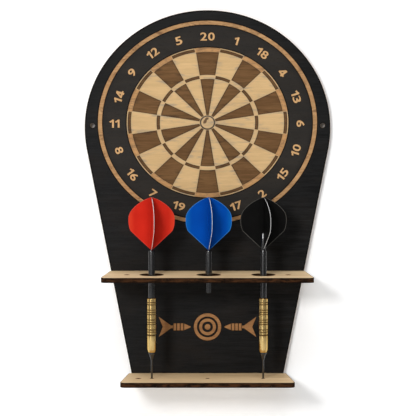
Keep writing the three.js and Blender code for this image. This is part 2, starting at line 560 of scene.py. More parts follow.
def make_scorch() -> None:
    """Builds the mottling that a laser leaves: soot that gathers in blotches and a fine speckle."""
    effect = Effect(
        "scorch",
        {"Place": ("Vector", None), "Amount": ("Float", 0.5)},
        {"Soot": "Float", "Speckle": "Float"},
    )
    recipe, given = effect.recipe, effect.given
    blotch = recipe.streaks(given["Place"], (150, 220, 260), 5, 0.6, 0.8)
    edge = 0.86 - given["Amount"] * 0.5
    soot = blotch - edge
    soot = recipe.math("MULTIPLY", soot, 6.0, clamp=True)
    speckle = recipe.noise(given["Place"], 2600, 3, 0.7)
    effect.give(Soot=soot, Speckle=recipe.band(speckle, 0.4, 0.66))


def make_ply_edge() -> None:
    """Builds the burnt edge of three-ply: dark bands across the thickness, streaked along the cut."""
    effect = Effect(
        "ply_edge",
        {"Place": ("Vector", None), "Depth": ("Float", 0.5)},
        {"Colour": "Color", "Height": "Float"},
    )
    recipe, given = effect.recipe, effect.given
    across = recipe.math("PINGPONG", given["Depth"], 0.5)
    core = recipe.band(across, 0.12, 0.26)
    streaks = recipe.streaks(given["Place"], (700, 700, 160), 4, 0.65)
    patches = recipe.streaks(given["Place"], (110, 110, 420), 4, 0.6, 0.5)
    burnt = recipe.mix(recipe.band(streaks, 0.35, 0.7), (0.006, 0.0033, 0.0020), (0.022, 0.0105, 0.0055))
    toasted = recipe.mix(recipe.band(patches, 0.40, 0.60), burnt, (0.058, 0.0235, 0.0095))
    colour = recipe.mix(core, burnt, toasted)
    height = core * 0.4 + streaks * 0.6
    effect.give(Colour=colour, Height=height)


def make_face_cells(art: "FaceArt") -> None:
    """Builds the dart face's measures: how near a cell's edge is, the radius and the bull's swirl.

    Args:
        art: the face's sizes.
    """
    effect = Effect(
        "face_cells", {"Place": ("Vector", None)}, {"Edge": "Float", "Radius": "Float", "Swirl": "Float"}
    )
    recipe, given = effect.recipe, effect.given
    split = recipe.read("SeparateXYZ", {"Vector": given["Place"]})
    tall = (split["Z"] - art.centre_z) / art.height_share
    radius = recipe.hypot(split["X"], tall)
    angle = recipe.math("ARCTAN2", split["X"], tall)
    sector = math.tau / len(art.sequence)
    share = recipe.math("FRACT", angle / sector + 40.0)
    off = abs(share - 0.5)
    edge = off * sector * radius
    for pair in (art.groove, *art.doubles):
        for limit in pair:
            away = abs(radius - limit)
            edge = recipe.math("MINIMUM", edge, away)
    lift = recipe.band(angle, -0.8, 0.1) * (1.7 * MM)
    away = radius - (lift + 2.2 * MM)
    away = abs(away)
    swirl = 1.0 - recipe.band(away, 0.95 * MM, 1.6 * MM)
    start = 1.0 - recipe.band(angle, 0.1, 0.4)
    end = recipe.band(angle, -2.2, -1.6)
    swirl = swirl * (start * end)
    swirl = swirl * recipe.math("LESS_THAN", radius, 4.6 * MM)
    effect.give(Edge=edge, Radius=radius, Swirl=swirl)


@dataclass(frozen=True)
class Finish:
    """What every finish has: the material's name and the record's slot it belongs to."""

    name: str
    slot: str

    def make(self) -> Material:
        """Builds the material: one Principled BSDF, with the finish's looks on its sockets.

        Returns:
            The material.
        """
        material = bpy.data.materials.new(self.name)
        material.use_nodes = True
        recipe = Recipe(material.node_tree)
        shader = recipe.node("BsdfPrincipled")
        output = recipe.node("OutputMaterial")
        place = recipe.read("TexCoord")["Object"]
        for name, value in self.looks(recipe, place).items():
            recipe.plug(value, shader.inputs[name])
        recipe.plug(self.surface(recipe, recipe.outputs(shader)["BSDF"]), output.inputs["Surface"])
        return material

    def looks(self, recipe: Recipe, place: Wire) -> dict[str, object]:
        """Builds the nodes of the finish.

        Args:
            recipe: the material's recipe.
            place: Object coordinates.

        Returns:
            Wires and plain values for the Principled BSDF's sockets, by name.
        """
        raise NotImplementedError

    def surface(self, recipe: Recipe, shader: Wire) -> Wire:
        """Returns what goes to the surface: the Principled BSDF itself, unless a finish adds to it."""
        return shader


@dataclass(frozen=True)
class WoodTone(Finish):
    """Bare or laser-darkened birch face veneer, with its grain along X."""

    light: Colour
    dark: Colour
    soot: Colour = (0.17, 0.15, 0.125)
    soot_amount: float = 0.5
    soot_share: float = 0.5
    rough: float = 0.62
    relief: float = 0.05 * MM
    cells: float = 0.0

    def looks(self, recipe: Recipe, place: Wire) -> dict[str, object]:
        """Builds the nodes of the finish."""
        grain = recipe.group("veneer_grain", {"Place": place, "Figure Scale": 1.0})
        scorch = recipe.group("scorch", {"Place": place, "Amount": self.soot_amount})
        middle = tuple((a + b) / 2 for a, b in zip(self.light, self.dark))
        colour = recipe.mix(grain["Figure"], self.light, middle)
        colour = recipe.mix(grain["Fibre"] * 0.75, colour, self.dark)
        colour = recipe.mix(grain["Pores"] * 0.45, colour, self.dark)
        colour = recipe.mix(scorch["Soot"] * self.soot_share, colour, self.soot)
        if self.cells:
            colour = self.cell_tones(recipe, place, colour, scorch["Speckle"])
        rough = scorch["Speckle"] * 0.12 + self.rough
        height = grain["Height"] + scorch["Speckle"] * 0.3
        return {
            "Base Color": colour,
            "Roughness": rough,
            "Specular IOR Level": 0.15,
            "Normal": recipe.bump(height, self.relief),
        }

    def cell_tones(self, recipe: Recipe, place: Wire, colour: Wire, speckle: Wire) -> Wire:
        """Darkens a cell along its edges and towards the bull, and draws the swirl.

        Args:
            recipe: the material's recipe.
            place: Object coordinates.
            colour: the wood so far.
            speckle: a fine mottling, which breaks the edge up.

        Returns:
            The new colour.
        """
        cells = recipe.group("face_cells", {"Place": place})
        reach = cells["Edge"] + speckle * (0.5 * MM)
        rim = 1.0 - recipe.band(reach, 0.3 * MM, 1.9 * MM)
        colour = recipe.mix(rim * self.cells, colour, self.soot)
        smudge = recipe.streaks(place, (55, 260, 330), 5, 0.62, 0.5)
        close = 1.0 - recipe.band(cells["Edge"], 0.5 * MM, 6.0 * MM)
        smudge = recipe.band(smudge, 0.5, 0.66) * close
        colour = recipe.mix(smudge * 0.62, colour, self.soot)
        inner = 1.0 - recipe.band(cells["Radius"], 9 * MM, 34 * MM)
        colour = recipe.mix(inner * 0.06, colour, self.soot)
        return recipe.mix(cells["Swirl"] * 0.9, colour, (0.10, 0.052, 0.028))


@dataclass(frozen=True)
class StainedPly(Finish):
    """Black-stained veneer with a faint grain, worn brown patches and darker burnt rims."""

    stain: Colour
    worn: Colour
    band: Colour
    burnt: Colour
    face: "FaceArt"
    plan: "PanelPlan"

    def looks(self, recipe: Recipe, place: Wire) -> dict[str, object]:
        """Builds the nodes of the finish."""
        grain = recipe.group("veneer_grain", {"Place": place, "Figure Scale": 1.3})
        scorch = recipe.group("scorch", {"Place": place, "Amount": 0.4})
        patches = recipe.streaks(place, (22, 30, 46), 5, 0.58, 0.4)
        worn = recipe.band(patches, 0.44, 0.74) * 0.5
        split = recipe.read("SeparateXYZ", {"Vector": place})
        # Painted light: the stain is lighter towards the upper left and darker towards the lower right, as
        # the lamps' light falls across the panel.
        light_falloff = split["Z"] * 0.25 - split["X"] + patches * 0.12
        deep = tuple(channel * 0.52 for channel in self.stain)
        base = recipe.mix(recipe.band(light_falloff, -0.06, 0.14), deep, self.stain)
        colour = recipe.mix(worn, base, self.worn)
        cells = recipe.group("face_cells", {"Place": place})
        inside = 1.0 - recipe.band(cells["Radius"], 80 * MM, 92 * MM)
        colour = recipe.mix(inside * 0.8, colour, self.band)
        lighter = tuple(channel * 2.0 for channel in self.stain)
        colour = recipe.mix(grain["Fibre"] * 0.5, colour, lighter)
        colour = recipe.mix(grain["Figure"] * 0.35, colour, self.stain)
        colour = recipe.mix(grain["Pores"] * 0.6, colour, self.burnt)
        colour = recipe.mix(self.rims(recipe, place), colour, self.burnt)
        rough = grain["Fibre"] * 0.16 + 0.5
        height = grain["Height"] + scorch["Speckle"] * 0.25
        return {
            "Base Color": colour,
            "Roughness": rough,
            "Specular IOR Level": 0.04,
            "Normal": recipe.bump(height, 0.06 * MM),
        }

    def rims(self, recipe: Recipe, place: Wire) -> Wire:
        """Finds the burnt rims beside the engraved ring, round the face and along the panel's outline.

        Args:
            recipe: the material's recipe.
            place: Object coordinates.

        Returns:
            A mask that is 1 right at a cut.
        """
        split = recipe.read("SeparateXYZ", {"Vector": place})
        wobble = (recipe.noise(place, 420, 3, 0.6) - 0.5) * (0.7 * MM)

        def round_distance(half_width: float, centre: float, share: float) -> Wire:
            """Half width of the ellipse of one shape through a point, less a given half width."""
            return recipe.hypot(split["X"], (split["Z"] - centre) / share) - half_width

        def close_to(distance: object, reach: float) -> Wire:
            """1 at no distance, falling to 0 at a reach."""
            return 1.0 - recipe.band(abs(distance) + wobble, 0.15 * MM, reach)

        art, plan = self.face, self.plan
        masks = [
            close_to(round_distance(half_width, art.centre_z, art.height_share), 1.3 * MM)
            for half_width in (art.ring_outer, art.ring_inner, art.radius)
        ]
        arch_share = plan.arch_rise / plan.arch_half_width
        arch = round_distance(plan.arch_half_width, plan.arch_centre_z, arch_share)
        below = plan.tangent_z - split["Z"]
        side = abs(split["X"]) - plan.tangent_x + below * plan.taper
        is_side = recipe.math("GREATER_THAN", below, 0.0)
        blend = recipe.node("Mix", {0: is_side, 2: arch, 3: side}, data_type="FLOAT")
        outline = Wire(recipe, blend.outputs[0])
        masks.append(close_to(outline, 1.9 * MM))
        total = masks[0]
        for mask in masks[1:]:
            total = recipe.math("MAXIMUM", total, mask)
        return total


@dataclass(frozen=True)
class BurntEdge(Finish):
    """A laser-cut plywood edge, with its plies across a direction."""

    across: str
    low: float
    thickness: float

    def looks(self, recipe: Recipe, place: Wire) -> dict[str, object]:
        """Builds the nodes of the finish."""
        split = recipe.read("SeparateXYZ", {"Vector": place})
        depth = (split[self.across] - self.low) / self.thickness
        edge = recipe.group("ply_edge", {"Place": place, "Depth": depth})
        return {
            "Base Color": edge["Colour"],
            "Roughness": 0.75,
            "Specular IOR Level": 0.03,
            "Normal": recipe.bump(edge["Height"], 0.12 * MM),
        }


@dataclass(frozen=True)
class ShelfFace(Finish):
    """A shelf's birch face, toasted in a thin line along its edges and around its holes."""

    light: Colour
    dark: Colour
    plan: "ShelfPlan"
    small_spread: float = 0.7 * MM

    def looks(self, recipe: Recipe, place: Wire) -> dict[str, object]:
        """Builds the nodes of the finish."""
        grain = recipe.group("veneer_grain", {"Place": place, "Figure Scale": 1.0})
        scorch = recipe.group("scorch", {"Place": place, "Amount": 0.28})
        colour = recipe.mix(grain["Figure"] * 0.8, self.light, self.dark)
        darker = tuple(channel * 0.72 for channel in self.dark)
        colour = recipe.mix(grain["Fibre"] * 0.45, colour, darker)
        colour = recipe.mix(grain["Pores"] * 0.5, colour, darker)
        colour = recipe.mix(scorch["Soot"] * 0.3, colour, (0.2, 0.16, 0.12))
        toast = self.toast(recipe, place)
        colour = recipe.mix(toast, colour, (0.24, 0.09, 0.03))
        rough = grain["Fibre"] * 0.12 + 0.55
        return {
            "Base Color": colour,
            "Roughness": rough,
            "Specular IOR Level": 0.2,
            "Normal": recipe.bump(grain["Height"], 0.04 * MM),
        }

    def toast(self, recipe: Recipe, place: Wire) -> Wire:
        """Finds the toasted line along the shelf's front and ends and around its dart holes.

        Args:
            recipe: the material's recipe.
            place: Object coordinates.

        Returns:
            A mask that is 1 right at a cut.
        """
        split = recipe.read("SeparateXYZ", {"Vector": place})
        plan = self.plan
        front = split["Y"] - plan.front_y
        slope = plan.flare / (plan.back_y - plan.front_y)
        reach = plan.front_half - front * slope
        side = reach - abs(split["X"])
        nearest = recipe.math("MINIMUM", front, side)
        holes = [(x, plan.hole_radius) for x in plan.hole_xs]
        holes += [(x, plan.small_radius + self.small_spread) for x in plan.small_xs]
        for x, radius in holes:
            away = recipe.hypot(split["X"] - x, split["Y"] - plan.hole_y) - radius
            nearest = recipe.math("MINIMUM", nearest, away)
        wobble = recipe.noise(place, 300, 3, 0.6) * (0.5 * MM)
        nearest = nearest + wobble
        return 1.0 - recipe.band(nearest, 0.25 * MM, 1.15 * MM)


@dataclass(frozen=True)
class Film(Finish):
    """Printed polyester film, satin, with a faint orange-peel surface."""

    colour: Colour
    deep: Colour
    # A brighter colour, painted as light on the wings' outer edges.
    outer: Colour | None = None
    rough: float = 0.42

    def looks(self, recipe: Recipe, place: Wire) -> dict[str, object]:
        """Builds the nodes of the finish."""
        cloud = recipe.band(recipe.noise(place, 90, 3, 0.5), 0.3, 0.7)
        colour = recipe.mix(cloud * 0.35, self.colour, self.deep)
        span = recipe.read("Attribute", attribute_name="span")["Fac"]
        # Painted shade: the film is darker near the spine, where the wings shade each other.
        spine_shade = 1.0 - recipe.band(span, 0.02, 0.4)
        shaded = tuple(channel * 0.6 for channel in self.deep)
        colour = recipe.mix(spine_shade * 0.4, colour, shaded)
        # Painted light: the wings' outer edges are brightened towards the outer colour.
        if self.outer:
            painted_edge_light = recipe.band(span, 0.68, 1.0) * 0.7
            colour = recipe.mix(painted_edge_light, colour, self.outer)
        peel = recipe.noise(place, 1500, 2, 0.5)
        rough = cloud * 0.08 + self.rough
        return {
            "Base Color": colour,
            "Roughness": rough,
            "Specular IOR Level": 0.03,
            "Normal": recipe.bump(peel, 0.02 * MM),
        }


@dataclass(frozen=True)
class Brass(Finish):
    """Turned brass: fine rings from the tool, a slight tarnish and brighter crests."""

    colour: Colour
    tarnish: Colour

    def looks(self, recipe: Recipe, place: Wire) -> dict[str, object]:
        """Builds the nodes of the finish."""
        rings = recipe.streaks(place, (40, 40, 9000), 3, 0.6)
        cloud = recipe.band(recipe.streaks(place, (260, 260, 120), 4, 0.6), 0.42, 0.72)
        colour = recipe.mix(cloud * 0.5, self.colour, self.tarnish)
        # The grooves' floors are mixed towards a dark brown.
        groove = recipe.read("Attribute", attribute_name="burn")["Fac"]
        colour = recipe.mix(groove * 0.8, colour, (0.12, 0.055, 0.014))
        rough = cloud * 0.12 + 0.16
        rough = rough + groove * 0.25
        return {
            "Base Color": colour,
            "Metallic": 1.0,
            "Roughness": rough,
            "Specular Tint": (0.34, 0.2, 0.08, 1.0),
            "Normal": recipe.bump(rings, 0.012 * MM),
        }


@dataclass(frozen=True)
class Nylon(Finish):
    """Moulded black nylon with a soft gloss and drawn-out handling marks."""

    colour: Colour

    def looks(self, recipe: Recipe, place: Wire) -> dict[str, object]:
        """Builds the nodes of the finish."""
        scuffs = recipe.band(recipe.streaks(place, (900, 900, 130), 4, 0.65), 0.5, 0.75)
        lighter = tuple(channel * 2.2 for channel in self.colour)
        colour = recipe.mix(scuffs * 0.3, self.colour, lighter)
        rough = scuffs * 0.06 + 0.15
        return {
            "Base Color": colour,
            "Roughness": rough,
            "Specular IOR Level": 0.9,
            "Normal": recipe.bump(scuffs, 0.0006 * MM),
        }


@dataclass(frozen=True)
class PaleBoard(Finish):
    """A plain pale backdrop that shows only its front, so that it hides nothing from behind.

    Light from behind passes it on the last stretch to whatever hangs on it.
    """

    colour: Colour
    glow: float
    reach: float = 1.2 * MM
    # The screw holes' places; behind them the wall is painted with shade: a darker colour and no glow.
    unlit: tuple[float, ...] = ()
    unlit_radius: float = 5 * MM
    shade: Colour = (0.4, 0.4, 0.4)

    def looks(self, recipe: Recipe, place: Wire) -> dict[str, object]:
        """Builds the nodes of the finish."""
        # Painted shade: within unlit_radius of each screw hole the wall takes the shade colour and loses its
        # glow.
        glow = 1.0
        for x in self.unlit:
            away = recipe.vector("SUBTRACT", place, (x, 0, 0))
            length = recipe.read("VectorMath", {0: away}, operation="LENGTH")["Value"]
            glow = recipe.math("GREATER_THAN", length, self.unlit_radius) * glow
        return {
            "Base Color": recipe.mix(glow, self.shade, self.colour),
            "Roughness": 0.9,
            "Specular IOR Level": 0.1,
            "Emission Color": recipe.mix(glow, (0, 0, 0), (1, 1, 1)),
            "Emission Strength": self.glow,
        }

    def surface(self, recipe: Recipe, shader: Wire) -> Wire:
        """Makes the board clear from behind, and for light that has all but reached what hangs on it."""
        clear = recipe.read("BsdfTransparent")["BSDF"]
        path = recipe.read("LightPath")
        near = recipe.math("LESS_THAN", path["Ray Length"], self.reach)
        near = near * path["Is Shadow Ray"]
        open_side = recipe.math("MAXIMUM", recipe.read("NewGeometry")["Backfacing"], near)
        return recipe.first("MixShader", (open_side, shader, clear))


# ------------------------------------------------------------------------------------- dimensions


@dataclass(frozen=True)
class PanelPlan:
    """The back panel's outline: an arch on two tapered sides."""

    low: Vector
    high: Vector
    arch_rise: float = 95.5 * MM
    taper: float = 0.195
    screw_x: float = 93.6 * MM
    screw_radius: float = 2.0 * MM

    @property
    def arch_half_width(self) -> float:
        """Half the panel's greatest width."""
        return (self.high.x - self.low.x) / 2

    @property
    def arch_centre_z(self) -> float:
        """The height of the arch's centre."""
        return self.high.z - self.arch_rise

    @property
    def tangent_angle(self) -> float:
        """How far below level the arch runs on before the straight sides."""
        return math.atan(self.taper * self.arch_rise / self.arch_half_width)

    @property
    def tangent_x(self) -> float:
        """Half the width where the straight sides begin."""
        return self.arch_half_width * math.cos(self.tangent_angle)

    @property
    def tangent_z(self) -> float:
        """The height where the straight sides begin."""
        return self.arch_centre_z - self.arch_rise * math.sin(self.tangent_angle)

    def half_width(self, z: float) -> float:
        """Half the width at a height on the tapered part."""
        return self.tangent_x - self.taper * (self.tangent_z - z)


@dataclass(frozen=True)
class FaceArt:
    """The engraved dart face. It is wider than tall, and each radius is a half width."""

    centre_z: float = 2.4 * MM
    height_share: float = 0.928
    ring_outer: float = 89.0 * MM
    ring_inner: float = 85.7 * MM
    numeral_half_width: float = 75.6 * MM
    numeral_half_height: float = 70.6 * MM
    numeral_drop: float = 0.8 * MM
    numeral_height: float = 6.6 * MM
    sequence: tuple[int, ...] = (20, 1, 18, 4, 13, 6, 10, 15, 2, 17, 3, 19, 7, 16, 8, 11, 14, 9, 12, 5)
    groove: tuple[float, float] = (5.1 * MM, 6.3 * MM)
    singles: tuple[tuple[float, float], ...] = ((6.6 * MM, 38.35 * MM), (41.75 * MM, 61.85 * MM))
    doubles: tuple[tuple[float, float], ...] = ((38.7 * MM, 41.4 * MM), (62.2 * MM, 64.9 * MM))
    radius: float = 65.7 * MM
    depth: float = 0.3 * MM
    burn_depth: float = 0.14 * MM

    @property
    def rings(self) -> list[float]:
        """All the radii at which the face's surface changes, from the middle out."""
        pairs = (self.groove, *self.singles, *self.doubles)
        return sorted({radius for pair in pairs for radius in pair} | {self.radius})


@dataclass(frozen=True)
class ShelfPlan:
    """A shelf's outline seen from above."""

    low: Vector
    high: Vector
    panel_front_y: float
    tab_x: float
    hole_xs: tuple[float, ...]
    hole_radius: float
    small_xs: tuple[float, ...]
    blind_depth: float = 0.0
    flare: float = 6.0 * MM
    corner: float = 5.0 * MM
    rounding: float = 0.54 * MM
    tab_width: float = 24.0 * MM
    hole_depth: float = 27.3 * MM
    small_radius: float = 1.3 * MM

    @property
    def front_y(self) -> float:
        """Where the front edge is."""
        return self.low.y

    @property
    def back_y(self) -> float:
        """Where the shelf meets the panel."""
        return self.panel_front_y

    @property
    def front_half(self) -> float:
        """Half the width of the front, before its corners are rounded."""
        return (self.high.x - self.low.x) / 2 + self.rounding

    @property
    def hole_y(self) -> float:
        """Where the darts' axes are."""
        return self.panel_front_y - self.hole_depth


# ------------------------------------------------------------------------------------------ panel


@dataclass
class BackPanel:
    """The black-stained panel with its engravings, and the dart face let into it."""

    plan: PanelPlan
    art: FaceArt
    woods: dict[str, Material]
    slots: Sequence[tuple[float, float]]
    motif_z: float
    engraving_depth: float = 0.4 * MM
    spare: float = 0.06 * MM
    flare: float = 0.5 * MM
    stroke: float = 0.26
    digit_width: float = 0.82
    digit_swell: float = 0.022
    upright_number: int = 11
    letter_gap: float = 0.13
    sector_steps: int = 60
    arch_sides: int = 216
    rim: float = 0.25 * MM
    pocket: float = 1.0 * MM
    pocket_play: float = 0.05 * MM
    slot_half: tuple[float, float] = (12.15 * MM, 2.15 * MM)
    overshoot: float = 3 * MM
    # Two digits are drawn with bars: the digit's width, then each bar's start, end and share of the stroke.
    stroked: ClassVar[dict[str, tuple[float, tuple]]] = {
        "1": (0.56, (((0.43, 0.0), (0.43, 1.0), 1.0), ((0.0, 0.68), (0.46, 0.89), 0.8))),
        "4": (
            0.9,
            (
                ((0.6, 0.0), (0.6, 1.0), 1.0),
                ((0.0, 0.25), (0.9, 0.25), 0.82),
                ((0.08, 0.22), (0.55, 0.95), 0.82),
            ),
        ),
    }

    @property
    def floor_y(self) -> float:
        """Where the engravings' floors are."""
        return self.plan.low.y + self.engraving_depth

    def build(self) -> list[Piece]:
        """Makes the panel and the face.

        Returns:
            Both pieces.
        """
        panel = self.sheet()
        cutters = [self.annulus(), self.disc_cutter(), self.numerals(), self.motif()]
        middle_y = (self.plan.low.y + self.plan.high.y) / 2
        reach = (self.plan.high.y - self.plan.low.y) / 2 + self.overshoot
        for x in (-self.plan.screw_x, self.plan.screw_x):
            centre = Vector((x, middle_y, 0))
            cutters.append(rod(centre, self.plan.screw_radius, 2 * reach, "Y", self.woods["panel_edge"]))
        for x, z in self.slots:
            half = Vector((self.slot_half[0], reach, self.slot_half[1]))
            centre = Vector((x, middle_y, z))
            cutters.append(block(centre - half, centre + half, self.woods["panel_edge"]))
        combine(panel, join(cutters), crossing=True)
        return [settle(panel, "stained_panel"), self.face()]

    def sheet(self) -> Piece:
        """Saws the panel's outline out of a sheet and breaks its front edge.

        Returns:
            The plain panel.
        """
        plan = self.plan
        panel = circle(1, self.arch_sides)
        panel.scale = (plan.arch_half_width, plan.arch_rise, 1)
        panel.location = (0, plan.high.y, plan.arch_centre_z)
        settle(panel, "panel")
        bottom_z = plan.low.z
        with editing(panel):
            pick(panel, Kind.VERT, lambda v: v.co.z < plan.tangent_z)
            bpy.ops.mesh.delete(type="VERT")
            for end in self.lowest_pair(panel):
                pick(panel, Kind.VERT, lambda v, goal=end: (v.co - goal).length < NEAR)
                foot = Vector((math.copysign(plan.half_width(bottom_z), end.x), end.y, bottom_z))
                extrude(foot - end)
            select_all()
            bpy.ops.mesh.edge_face_add()
            thickness = plan.high.y - plan.low.y
            extrude((0, -thickness, 0))
            select_all()
            bpy.ops.mesh.normals_make_consistent(inside=False)
            front_y = plan.low.y
            pick(panel, Kind.EDGE, lambda e: all(abs(v.co.y - front_y) < NEAR for v in e.verts))
            bpy.ops.mesh.bevel(offset=self.rim, segments=2, affect="EDGES")
        paint(panel, *(self.woods[wood] for wood in ("stained", "panel_edge", "panel_back")))
        for polygon in panel.data.polygons:
            toward = polygon.normal.y
            polygon.material_index = 0 if toward < -FLAT else 2 if toward > FLAT else 1
        return panel

    @staticmethod
    def lowest_pair(panel: Piece) -> list[Vector]:
        """Returns the places of the open outline's two end points, in edit mode."""
        mesh = bmesh.from_edit_mesh(panel.data)
        return [v.co.copy() for v in mesh.verts if len(v.link_edges) == 1]

    def annulus(self) -> Piece:
        """Makes the cutter of the thin ring that is engraved round the numerals.

        Returns:
            The cutter.
        """
        art = self.art
        cutter = circle(art.ring_outer, self.arch_sides)
        cutter.location = (0, self.floor_y, art.centre_z)
        settle(cutter, "ring_cutter")
        share = art.ring_inner / art.ring_outer
        centre = (0, 0, art.centre_z)
        with editing(cutter):
            select_all()
            extrude()
            resize((share, 1, share), centre)
            select_all()
            height = self.engraving_depth + self.spare
            extrude((0, -height, 0))
            select_all()
            resize((1, 1, art.height_share), centre)
        outward(cutter)
        return self.flared(cutter, self.woods["ring"])

    def flared(self, cutter: Piece, wood: Material) -> Piece:
        """Widens a cutter towards the front, so that its burnt walls slope and show as a dark rim.

        Args:
            cutter: upright walls from the engraving's floor to just in front of the panel.
            wood: what the floor shows.

        Returns:
            The same cutter.
        """
        limit = self.plan.low.y - self.spare / 2
        with editing(cutter):
            pick(cutter, Kind.VERT, lambda v: v.co.y < limit)
            bpy.ops.transform.shrink_fatten(value=self.flare)
            pick(cutter, Kind.VERT, lambda v: v.co.y < limit)
            resize((1, 0, 1), (0, self.plan.low.y - self.spare, 0))
        cutter.data.materials.clear()
        paint(cutter, wood, self.woods["panel_edge"])
        for polygon in cutter.data.polygons:
            polygon.material_index = 0 if abs(polygon.normal.y) > FLAT else 1
        return cutter

    def disc_cutter(self) -> Piece:
        """Makes the cutter of the shallow pocket that the dart face fills."""
        half = 2 * self.pocket
        centre = Vector((0, self.plan.low.y + self.pocket - half, self.art.centre_z))
        radius = self.art.radius + self.pocket_play
        cutter = rod(centre, radius, 2 * half, "Y", self.woods["soot"], sides=200)
        with editing(cutter):
            select_all()
            resize((1, 1, self.art.height_share), (0, 0, self.art.centre_z))
        return cutter

    def numerals(self) -> Piece:
        """Sets the numerals round the face, as one cutter.

        Returns:
            The cutter.
        """
        digits = {character: self.digit(character) for character in "0123456789"}
        made = []
        for place, number in enumerate(self.art.sequence):
            angle = place * math.tau / len(self.art.sequence)
            characters = [digits[character] for character in str(number)]
            made.append(self.numeral(characters, angle, number == self.upright_number))
        for digit in digits.values():
            discard(digit)
        return self.flared(join(made), self.woods["numeral"])

    def digit(self, character: str) -> Piece:
        """Makes one digit, lying in the XY plane, one unit tall with its lower left corner at the origin.

        Args:
            character: the digit.

        Returns:
            The digit, one unit thick.
        """
        width, strokes = self.stroked.get(character, (self.digit_width, ()))
        if strokes:
            made, *rest = [bar(start, end, self.stroke * share) for start, end, share in strokes]
            for stroke in rest:
                combine(made, stroke, "UNION")
        else:
            bpy.ops.object.text_add()
            text = bpy.context.object
            text.data.body = character
            text.data.resolution_u = 5
            text.data.offset = self.digit_swell
            text.data.extrude = 0.5
            bpy.ops.object.convert(target="MESH")
            made = bpy.context.object
            outward(made)
        low = Vector([min(v.co[i] for v in made.data.vertices) for i in range(3)])
        high = Vector([max(v.co[i] for v in made.data.vertices) for i in range(3)])
        size = high - low
        to_unit = Matrix.Diagonal((width / size.x, 1 / size.y, 1 / size.z, 1))
        made.data.transform(to_unit @ Matrix.Translation(-low))
        return made

    def numeral(self, digits: Sequence[Piece], angle: float, upright: bool) -> Piece:
        """Sets one numeral's digits side by side and stands them in their place on the panel.

        Args:
            digits: the digits to copy, from left to right.
            angle: its place, clockwise from the top.
            upright: whether it stands upright instead of facing the middle.

        Returns:
            Upright walls from the engraving's floor to just in front of the panel.
        """
        pieces = []
        along = 0.0
        for digit in digits:
            piece = copy_of(digit, "digit")
            piece.location = (along, 0, 0)
            along += digit.dimensions.x + self.letter_gap
            pieces.append(settle(piece, "digit"))
        made = join(pieces)
        turn_by = -angle
        in_lower_half = math.cos(angle) < -0.01
        if in_lower_half:
            turn_by += math.pi
        if upright:
            turn_by = 0.0
        art = self.art
        across = art.numeral_half_width * math.sin(angle)
        up = art.numeral_half_height * math.cos(angle) - art.numeral_drop
        thickness = self.engraving_depth + self.spare
        made.matrix_world = (
            Matrix.Translation((across, self.floor_y - thickness, art.centre_z + up))
            @ Matrix.Rotation(math.pi / 2, 4, "X")
            @ Matrix.Rotation(turn_by, 4, "Z")
            @ Matrix.Diagonal((art.numeral_height, art.numeral_height, thickness, 1))
            @ Matrix.Translation((-(along - self.letter_gap) / 2, -0.5, -1))
        )
        return settle(made, "numeral")

    def motif(self) -> Piece:
        """Makes the cutter of the plain ornament between the shelves: a target with a dart on each side.

        Returns:
            The cutter.
        """
        near = self.plan.low.y - self.spare

        def slab(x0: float, x1: float, half_height: float) -> Piece:
            """A bar from x0 to x1, in millimetres to the right of the middle."""
            low = Vector((x0 * MM, near, self.motif_z - half_height * MM))
            high = Vector((x1 * MM, self.floor_y, self.motif_z + half_height * MM))
            return block(low, high)

        def at_tail(place: Vector) -> bool:
            """Whether a place is at half height on the wing's outer edge."""
            return place.x > 39 * MM and abs(place.z - self.motif_z) < NEAR

        barrel = [slab(x, x + 2.2, 2.9) for x in (19.8, 22.7, 25.6)]
        nose = slab(13.8, 19.1, 2.7)
        with editing(nose):
            pick(nose, Kind.VERT, lambda v: v.co.x < 15 * MM)
            resize((1, 1, 0.12), (0, 0, self.motif_z))
        wing = slab(29.7, 40.0, 8.4)
        with editing(wing):
            pick(wing, Kind.VERT, lambda v: v.co.x < 30 * MM)
            resize((1, 1, 0.12), (0, 0, self.motif_z))
            pick(wing, Kind.EDGE, lambda e: at_tail(edge_middle(e)))
            bpy.ops.mesh.subdivide(number_cuts=1)
            pick(wing, Kind.VERT, lambda v: at_tail(v.co))
            bpy.ops.transform.translate(value=(-3.4 * MM, 0, 0))
        combine(wing, slab(28.3, 31.5, 1.1), "UNION")
        right = join([wing, nose, *barrel])
        left = copy_of(right, "left_dart")
        with editing(left):
            select_all()
            resize((-1, 1, 1))
            bpy.ops.mesh.flip_normals()
        middle = Vector((0, (near + self.floor_y) / 2, self.motif_z))
        thickness = self.floor_y - near
        target = [rod(middle, radius * MM, thickness, "Y", sides=64) for radius in (11.2, 6.9, 2.4)]
        for ring, inner in zip(target, (8.6, 4.4)):
            combine(ring, rod(middle, inner * MM, 3 * thickness, "Y", sides=64))
        return self.flared(join([right, left, *target]), self.woods["motif"])

    def face(self) -> Piece:
        """Makes the dart face: rings of cells, of which the burnt ones lie lower.

        Returns:
            The face, closed at the back.
        """
        art = self.art
        sectors = len(art.sequence)
        rings = art.rings
        disc = circle(rings[0], sectors * self.sector_steps, "NGON", math.pi / sectors)
        surface_y = self.plan.low.y + art.depth
        disc.location = (0, surface_y, art.centre_z)
        settle(disc, "dart_face")
        centre = (0, surface_y, art.centre_z)
        with editing(disc):
            bpy.ops.mesh.select_mode(type="EDGE")
            select_all()
            for inner, outer in zip(rings, rings[1:]):
                extrude()
                share = outer / inner
                resize((share, 1, share), centre)
            extrude((0, 0.6 * MM, 0))
            bpy.ops.mesh.edge_face_add()
            select_all()
            bpy.ops.mesh.normals_make_consistent(inside=False)
            self.sink(disc, art.singles, 0, art.burn_depth)
            self.sink(disc, art.doubles, 1, art.burn_depth)
            self.sink(disc, (art.groove,), None, 1.5 * art.burn_depth)
            select_all()
            resize((1, 1, art.height_share), centre)
        paint(disc, *(self.woods[wood] for wood in ("cream", "brown", "orange", "soot")))
        self.tint_cells(disc)
        return settle(disc, "dart_face")

